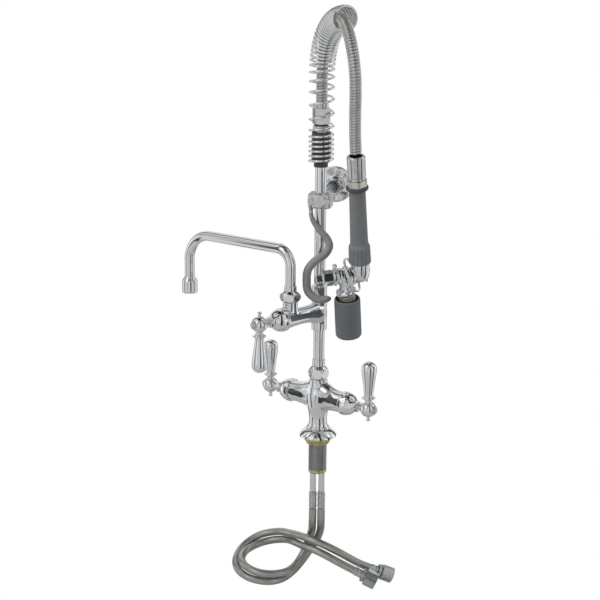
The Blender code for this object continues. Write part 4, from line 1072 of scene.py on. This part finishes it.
def make_spray_head():
    rubber = rounded([(16.2, -54.0), (18.4, -54.4), (19.1, -57.0), (19.2, -84.0), (19.2, -112.4),
                      (18.0, -115.0), (14.4, -115.0), (14.2, -96.0), (13.2, -94.0), (13.2, -86.0),
                      (14.6, -80.0), (16.2, -62.0)], 1.4, True)
    piece(lathe("bumper_sleeve", HEAD_LINE, rubber, 80, closed=True), BUMPER_RUBBER,
          "spray_valve", ["bumper"])
    core = [(0, -42.0), (9.2, -42.0)] + rounded([(9.2, -50.8), (12.6, -53.0), (12.9, -60.0),
                                                 (12.9, -110.0), (11.8, -111.6)], 0.8) + [(0, -111.6)]
    piece(lathe("spray_core", HEAD_LINE, core, 64), OLD_BRASS, "spray_valve",
          ["spray_face"])
    for row, (reach, number) in enumerate(((4.2, 6), (8.6, 12))):
        for i in range(number):
            angle = 2 * math.pi * i / number
            jet = place(spot(HEAD_OUT + reach * math.cos(angle), reach * math.sin(angle), -111.6),
                        -GRIP_UP, BONNET_OUT)
            nub = rounded([(0.5, -0.4), (0.5, 0.9), (1.1, 0.9), (1.3, -0.4)], 0.2)
            piece(lathe(f"jet_{row}_{i}", jet, nub, 16), OLD_BRASS, "spray_valve")


make_grip()
make_valve_body()
make_bonnet()
make_lever()
make_ring()
make_spray_head()

# ---- water supply -------------------------------------------------------------------------------
BRAID_STRANDS, BRAID_LAY, BRAID_DEPTH = 9, 0.62, 0.34


def weave(travel, angle):
    """Braid: two sets of strands that cross, each over and under in turn."""
    slope = travel / SUPPLY_R * BRAID_LAY * math.pi / 2
    first, second = BRAID_STRANDS * (angle + slope), BRAID_STRANDS * (angle - slope)
    height = 0.5 + 0.25 * (math.cos(first) + math.cos(second)) * 1.0
    return (height - 1) * BRAID_DEPTH, height


def crimped(radius, low, high, flats, bites):
    """Ferrule outline: pressed flats round it and grooves across it."""
    def at(angle):
        press = 0.28 * (0.5 + 0.5 * math.cos(flats * angle))
        steps = 28
        outline = []
        for i in range(steps + 1):
            z = high + (low - high) * i / steps
            groove = 0.45 * max(0.0, math.cos(2 * math.pi * bites * i / steps)) ** 3
            ends = 0.5 * (i in (0, steps))
            outline.append((radius - press - groove - ends, z))
        return [(0, high)] + outline + [(0, low)]
    return at


def make_supply(side, heading, route, nut_flats, nut_sides):
    top = place(direction(heading) * TUBE_OFFSET)
    piece(lathe(f"copper_tube_{side}", top, rounded(
        [(0, 41.0), (TUBE_R, 41.0), (TUBE_R, TUBE_END_Z), (0, TUBE_END_Z)], 0.4), 40), CHROME,
        nodes=[f"supply_tube_{side}"])
    crimp = crimped(6.0, TUBE_END_Z - CRIMP_LENGTH + 0.9, TUBE_END_Z - 0.3, 8, 3)
    piece(lathe(f"ferrule_{side}", top, crimp, 64), SATIN,
          nodes=[f"top_crimp_{side}"])
    path = smooth_route(route, 1.25)
    hose = piece(tube(f"braided_hose_{side}", path, SUPPLY_R, 36, weave), BRAID,
                 nodes=[f"supply_hose_{side}"], sharp=80)
    line = place(Vector(route[-1]), Vector(route[-1]) - Vector(route[-2]))
    sleeve = crimped(6.7, 0.3, 15.2, 8, 2)
    collar = rounded([(4.6, 16.0), (4.6, 22.6), (7.2, 23.4), (7.2, 26.0), (6.4, 27.0)][::-1], 0.4)

    def end_outline(angle):
        return [(0, 27.0)] + collar + sleeve(angle)[1:]

    end = piece(lathe(f"hose_tail_{side}", line, end_outline, 64), SATIN,
                nodes=[f"end_crimp_{side}"])
    bore, high, low = 8.7, 38.0, 19.5
    flats = hexed(nut_flats, low, high, 0.0, 0.88, nut_sides)

    def nut_outline(angle):
        shoulder = rounded([(9.2, low), (9.2, low - 1.0), (10.8, low - 2.2), (10.8, low - 5.2),
                            (9.8, low - 6.2), (8.0, low - 6.2)], 0.5)
        return flats(angle)[1:-1] + shoulder + [(8.0, 21.8), (bore, 22.0), (bore, 36.6),
                                                (bore + 0.9, high)]

    nut = piece(lathe(f"coupling_nut_{side}", line, nut_outline, 24 * nut_sides if nut_sides > 6
                      else 96, closed=True), NICKEL, f"supply_nut_{side}",
                [f"supply_nut_{side}"], sharp=24)
    # the seal's own black rubber, darkened further as painted shade inside the nut
    seal = rounded([(8.4, 28.2), (8.4, 27.2), (4.8, 27.2), (4.8, 28.2)], 0.3, True)
    washer = piece(lathe(f"nut_seal_{side}", line, seal, 40, closed=True), SHADED_SEAL_RUBBER,
                   f"supply_nut_{side}")


make_supply("cold", TUBE_HEADING, SUPPLY_ROUTE_COLD, 24.0, 12)
make_supply("hot", TUBE_HEADING + 180, SUPPLY_ROUTE_HOT, 24.0, 6)

# ---- CAD nodes that stay as they are, with better materials -------------------------------------
KEPT = {"cartridge_cold": BRASS, "cartridge_hot": BRASS, "cartridge_addon": BRASS}
for node, material in KEPT.items():
    kept = bpy.data.objects[node]
    kept.data.materials.clear()
    kept.data.materials.append(material)


# ---- floor, light and background ----------------------------------------------------------------
def make_floor():
    shape = bmesh.new()
    bmesh.ops.create_circle(shape, cap_ends=True, segments=96, radius=0.5,
                            matrix=Matrix.Translation((0, 0, FLOOR_Z * MM)))
    mesh = bpy.data.meshes.new("floor")
    shape.to_mesh(mesh)
    shape.free()
    paper = Surface("floor_paper", (0.50, 0.50, 0.50), 0.9)
    paper.mottled(3.0, 0.01)
    material = paper.done()
    nodes, links = paper.nodes, paper.links
    glow, mix = nodes.new("ShaderNodeEmission"), nodes.new("ShaderNodeMixShader")
    links.new(nodes.new("ShaderNodeLightPath").outputs["Is Camera Ray"], mix.inputs[0])
    links.new(paper.shader.outputs[0], mix.inputs[1])
    links.new(glow.outputs[0], mix.inputs[2])
    links.new(mix.outputs[0], nodes["Material Output"].inputs["Surface"])
    mesh.materials.append(material)
    floor = bpy.data.objects.new("floor", mesh)
    bpy.context.scene.collection.objects.link(floor)


def make_world():
    """White studio with a few dark flags, which give polished metal something to mirror."""
    world = bpy.data.worlds.new("studio")
    bpy.context.scene.world = world
    world.use_nodes = True
    nodes, links = world.node_tree.nodes, world.node_tree.links
    nodes.clear()
    new = nodes.new
    way = new("ShaderNodeTexCoord").outputs["Generated"]

    def value(operation, first, second=None, third=None, clamp=False):
        node = new("ShaderNodeMath")
        node.operation, node.use_clamp = operation, clamp
        for socket, entry in zip(node.inputs, (first, second, third)):
            if isinstance(entry, bpy.types.NodeSocket):
                links.new(entry, socket)
            elif entry is not None:
                socket.default_value = entry
        return node.outputs[0]

    def towards(heading, rise):
        """Cosine of the angle between the way looked and a fixed one."""
        turn, up = math.radians(heading), math.radians(rise)
        node = new("ShaderNodeVectorMath")
        node.operation = 'DOT_PRODUCT'
        links.new(way, node.inputs[0])
        node.inputs[1].default_value = (math.cos(turn) * math.cos(up),
                                        math.sin(turn) * math.cos(up), math.sin(up))
        return node.outputs["Value"]

    def patch(heading, rise, size, soft):
        """1 within so many degrees of a direction, 0 outside, with a soft edge."""
        node = new("ShaderNodeMapRange")
        links.new(towards(heading, rise), node.inputs["Value"])
        node.interpolation_type = 'SMOOTHSTEP'
        node.inputs["From Min"].default_value = math.cos(math.radians(size + soft))
        node.inputs["From Max"].default_value = math.cos(math.radians(max(0.0, size - soft)))
        return node.outputs["Result"]

    light = value('ADD', 0.64, value('MULTIPLY', patch(VIEW_BACK_HEADING, 0, 75, 30), 0.22))
    for heading, rise, size, soft, gain in LIGHTS:
        light = value('ADD', light, value('MULTIPLY', patch(heading, rise, size, soft), gain))
    for heading, rise, size, soft, loss in FLAGS:
        keep = value('SUBTRACT', 1.0, value('MULTIPLY', patch(heading, rise, size, soft), loss))
        light = value('MULTIPLY', light, keep)
    for heading, half_width, loss in STRIPS:
        side = towards(heading + 90, 0)
        front = value('GREATER_THAN', towards(heading, 0), 0.0)
        near = new("ShaderNodeMapRange")
        links.new(value('ABSOLUTE', side), near.inputs["Value"])
        near.interpolation_type = 'SMOOTHSTEP'
        near.inputs["From Min"].default_value = math.sin(math.radians(half_width * 1.35))
        near.inputs["From Max"].default_value = math.sin(math.radians(half_width * 0.7))
        amount = value('MULTIPLY', value('MULTIPLY', near.outputs["Result"], front), loss)
        light = value('MULTIPLY', light, value('SUBTRACT', 1.0, amount))
    stretch = new("ShaderNodeMapping")
    stretch.inputs["Scale"].default_value = (1.0, 1.0, 0.45)
    links.new(way, stretch.inputs["Vector"])
    clutter = new("ShaderNodeTexNoise")
    clutter.inputs["Scale"].default_value = 3.6
    clutter.inputs["Detail"].default_value = 1.0
    links.new(stretch.outputs["Vector"], clutter.inputs["Vector"])
    shade = new("ShaderNodeMapRange")
    shade.interpolation_type = 'SMOOTHSTEP'
    links.new(clutter.outputs["Fac"], shade.inputs["Value"])
    for socket, number in (("From Min", 0.38), ("From Max", 0.50), ("To Min", 0.58),
                           ("To Max", 1.04)):
        shade.inputs[socket].default_value = number
    light = value('MULTIPLY', light, shade.outputs["Result"])
    background, plain, mix = new("ShaderNodeBackground"), new("ShaderNodeBackground"), new(
        "ShaderNodeMixShader")
    links.new(light, background.inputs["Strength"])
    background.inputs["Color"].default_value = (0.985, 0.99, 1.0, 1.0)
    plain.inputs["Color"].default_value = (1.0, 1.0, 1.0, 1.0)
    links.new(new("ShaderNodeLightPath").outputs["Is Camera Ray"], mix.inputs[0])
    links.new(background.outputs[0], mix.inputs[1])
    links.new(plain.outputs[0], mix.inputs[2])
    links.new(mix.outputs[0], new("ShaderNodeOutputWorld").inputs["Surface"])


VIEW_HEADING = math.degrees(VIEW_AZIMUTH) - 90
VIEW_BACK_HEADING = VIEW_HEADING + 180
# Bright and dark patches: heading and rise in degrees, size, softness and strength.
LIGHTS = ((VIEW_HEADING - 62, 42, 22, 5, 0.60), (VIEW_HEADING + 78, 48, 20, 5, 0.55),
          (VIEW_HEADING - 36, 4, 12, 4, 0.25), (VIEW_HEADING + 112, 6, 12, 4, 0.40),
          (VIEW_HEADING - 104, 4, 12, 4, 0.40), (VIEW_HEADING + 52, 2, 9, 3, 0.30))
FLAGS = ((0, 90, 17, 4, 0.93), (VIEW_HEADING + 40, -34, 9, 4, 0.30),
         (VIEW_HEADING - 22, 58, 10, 3, 0.72), (VIEW_HEADING - 70, -30, 10, 4, 0.30),
         (VIEW_HEADING + 160, 40, 18, 5, 0.6))
STRIPS = ((VIEW_HEADING + 18, 6.0, 0.95), (VIEW_HEADING + 70, 7, 0.94), (VIEW_HEADING - 76, 4.6, 0.85),
          (VIEW_HEADING + 140, 8, 0.88), (VIEW_HEADING - 132, 8, 0.88), (VIEW_HEADING - 30, 2.4, 0.5))


def make_light(name, position, size, power):
    data = bpy.data.lights.new(name, 'AREA')
    data.size, data.energy = size, power
    lamp = bpy.data.objects.new(name, data)
    lamp.location = position
    lamp.rotation_mode = 'QUATERNION'
    lamp.rotation_quaternion = (-Vector(position)).to_track_quat('-Z', 'Y')
    lamp.visible_glossy = False
    bpy.context.scene.collection.objects.link(lamp)


make_floor()
make_world()
make_light("key_light", (-1.2, -2.0, 2.4), 1.6, 66.0)
make_light("fill_light", (2.6, -0.6, 1.4), 1.8, 22.0)
bpy.context.scene.view_settings.view_transform = 'Standard'
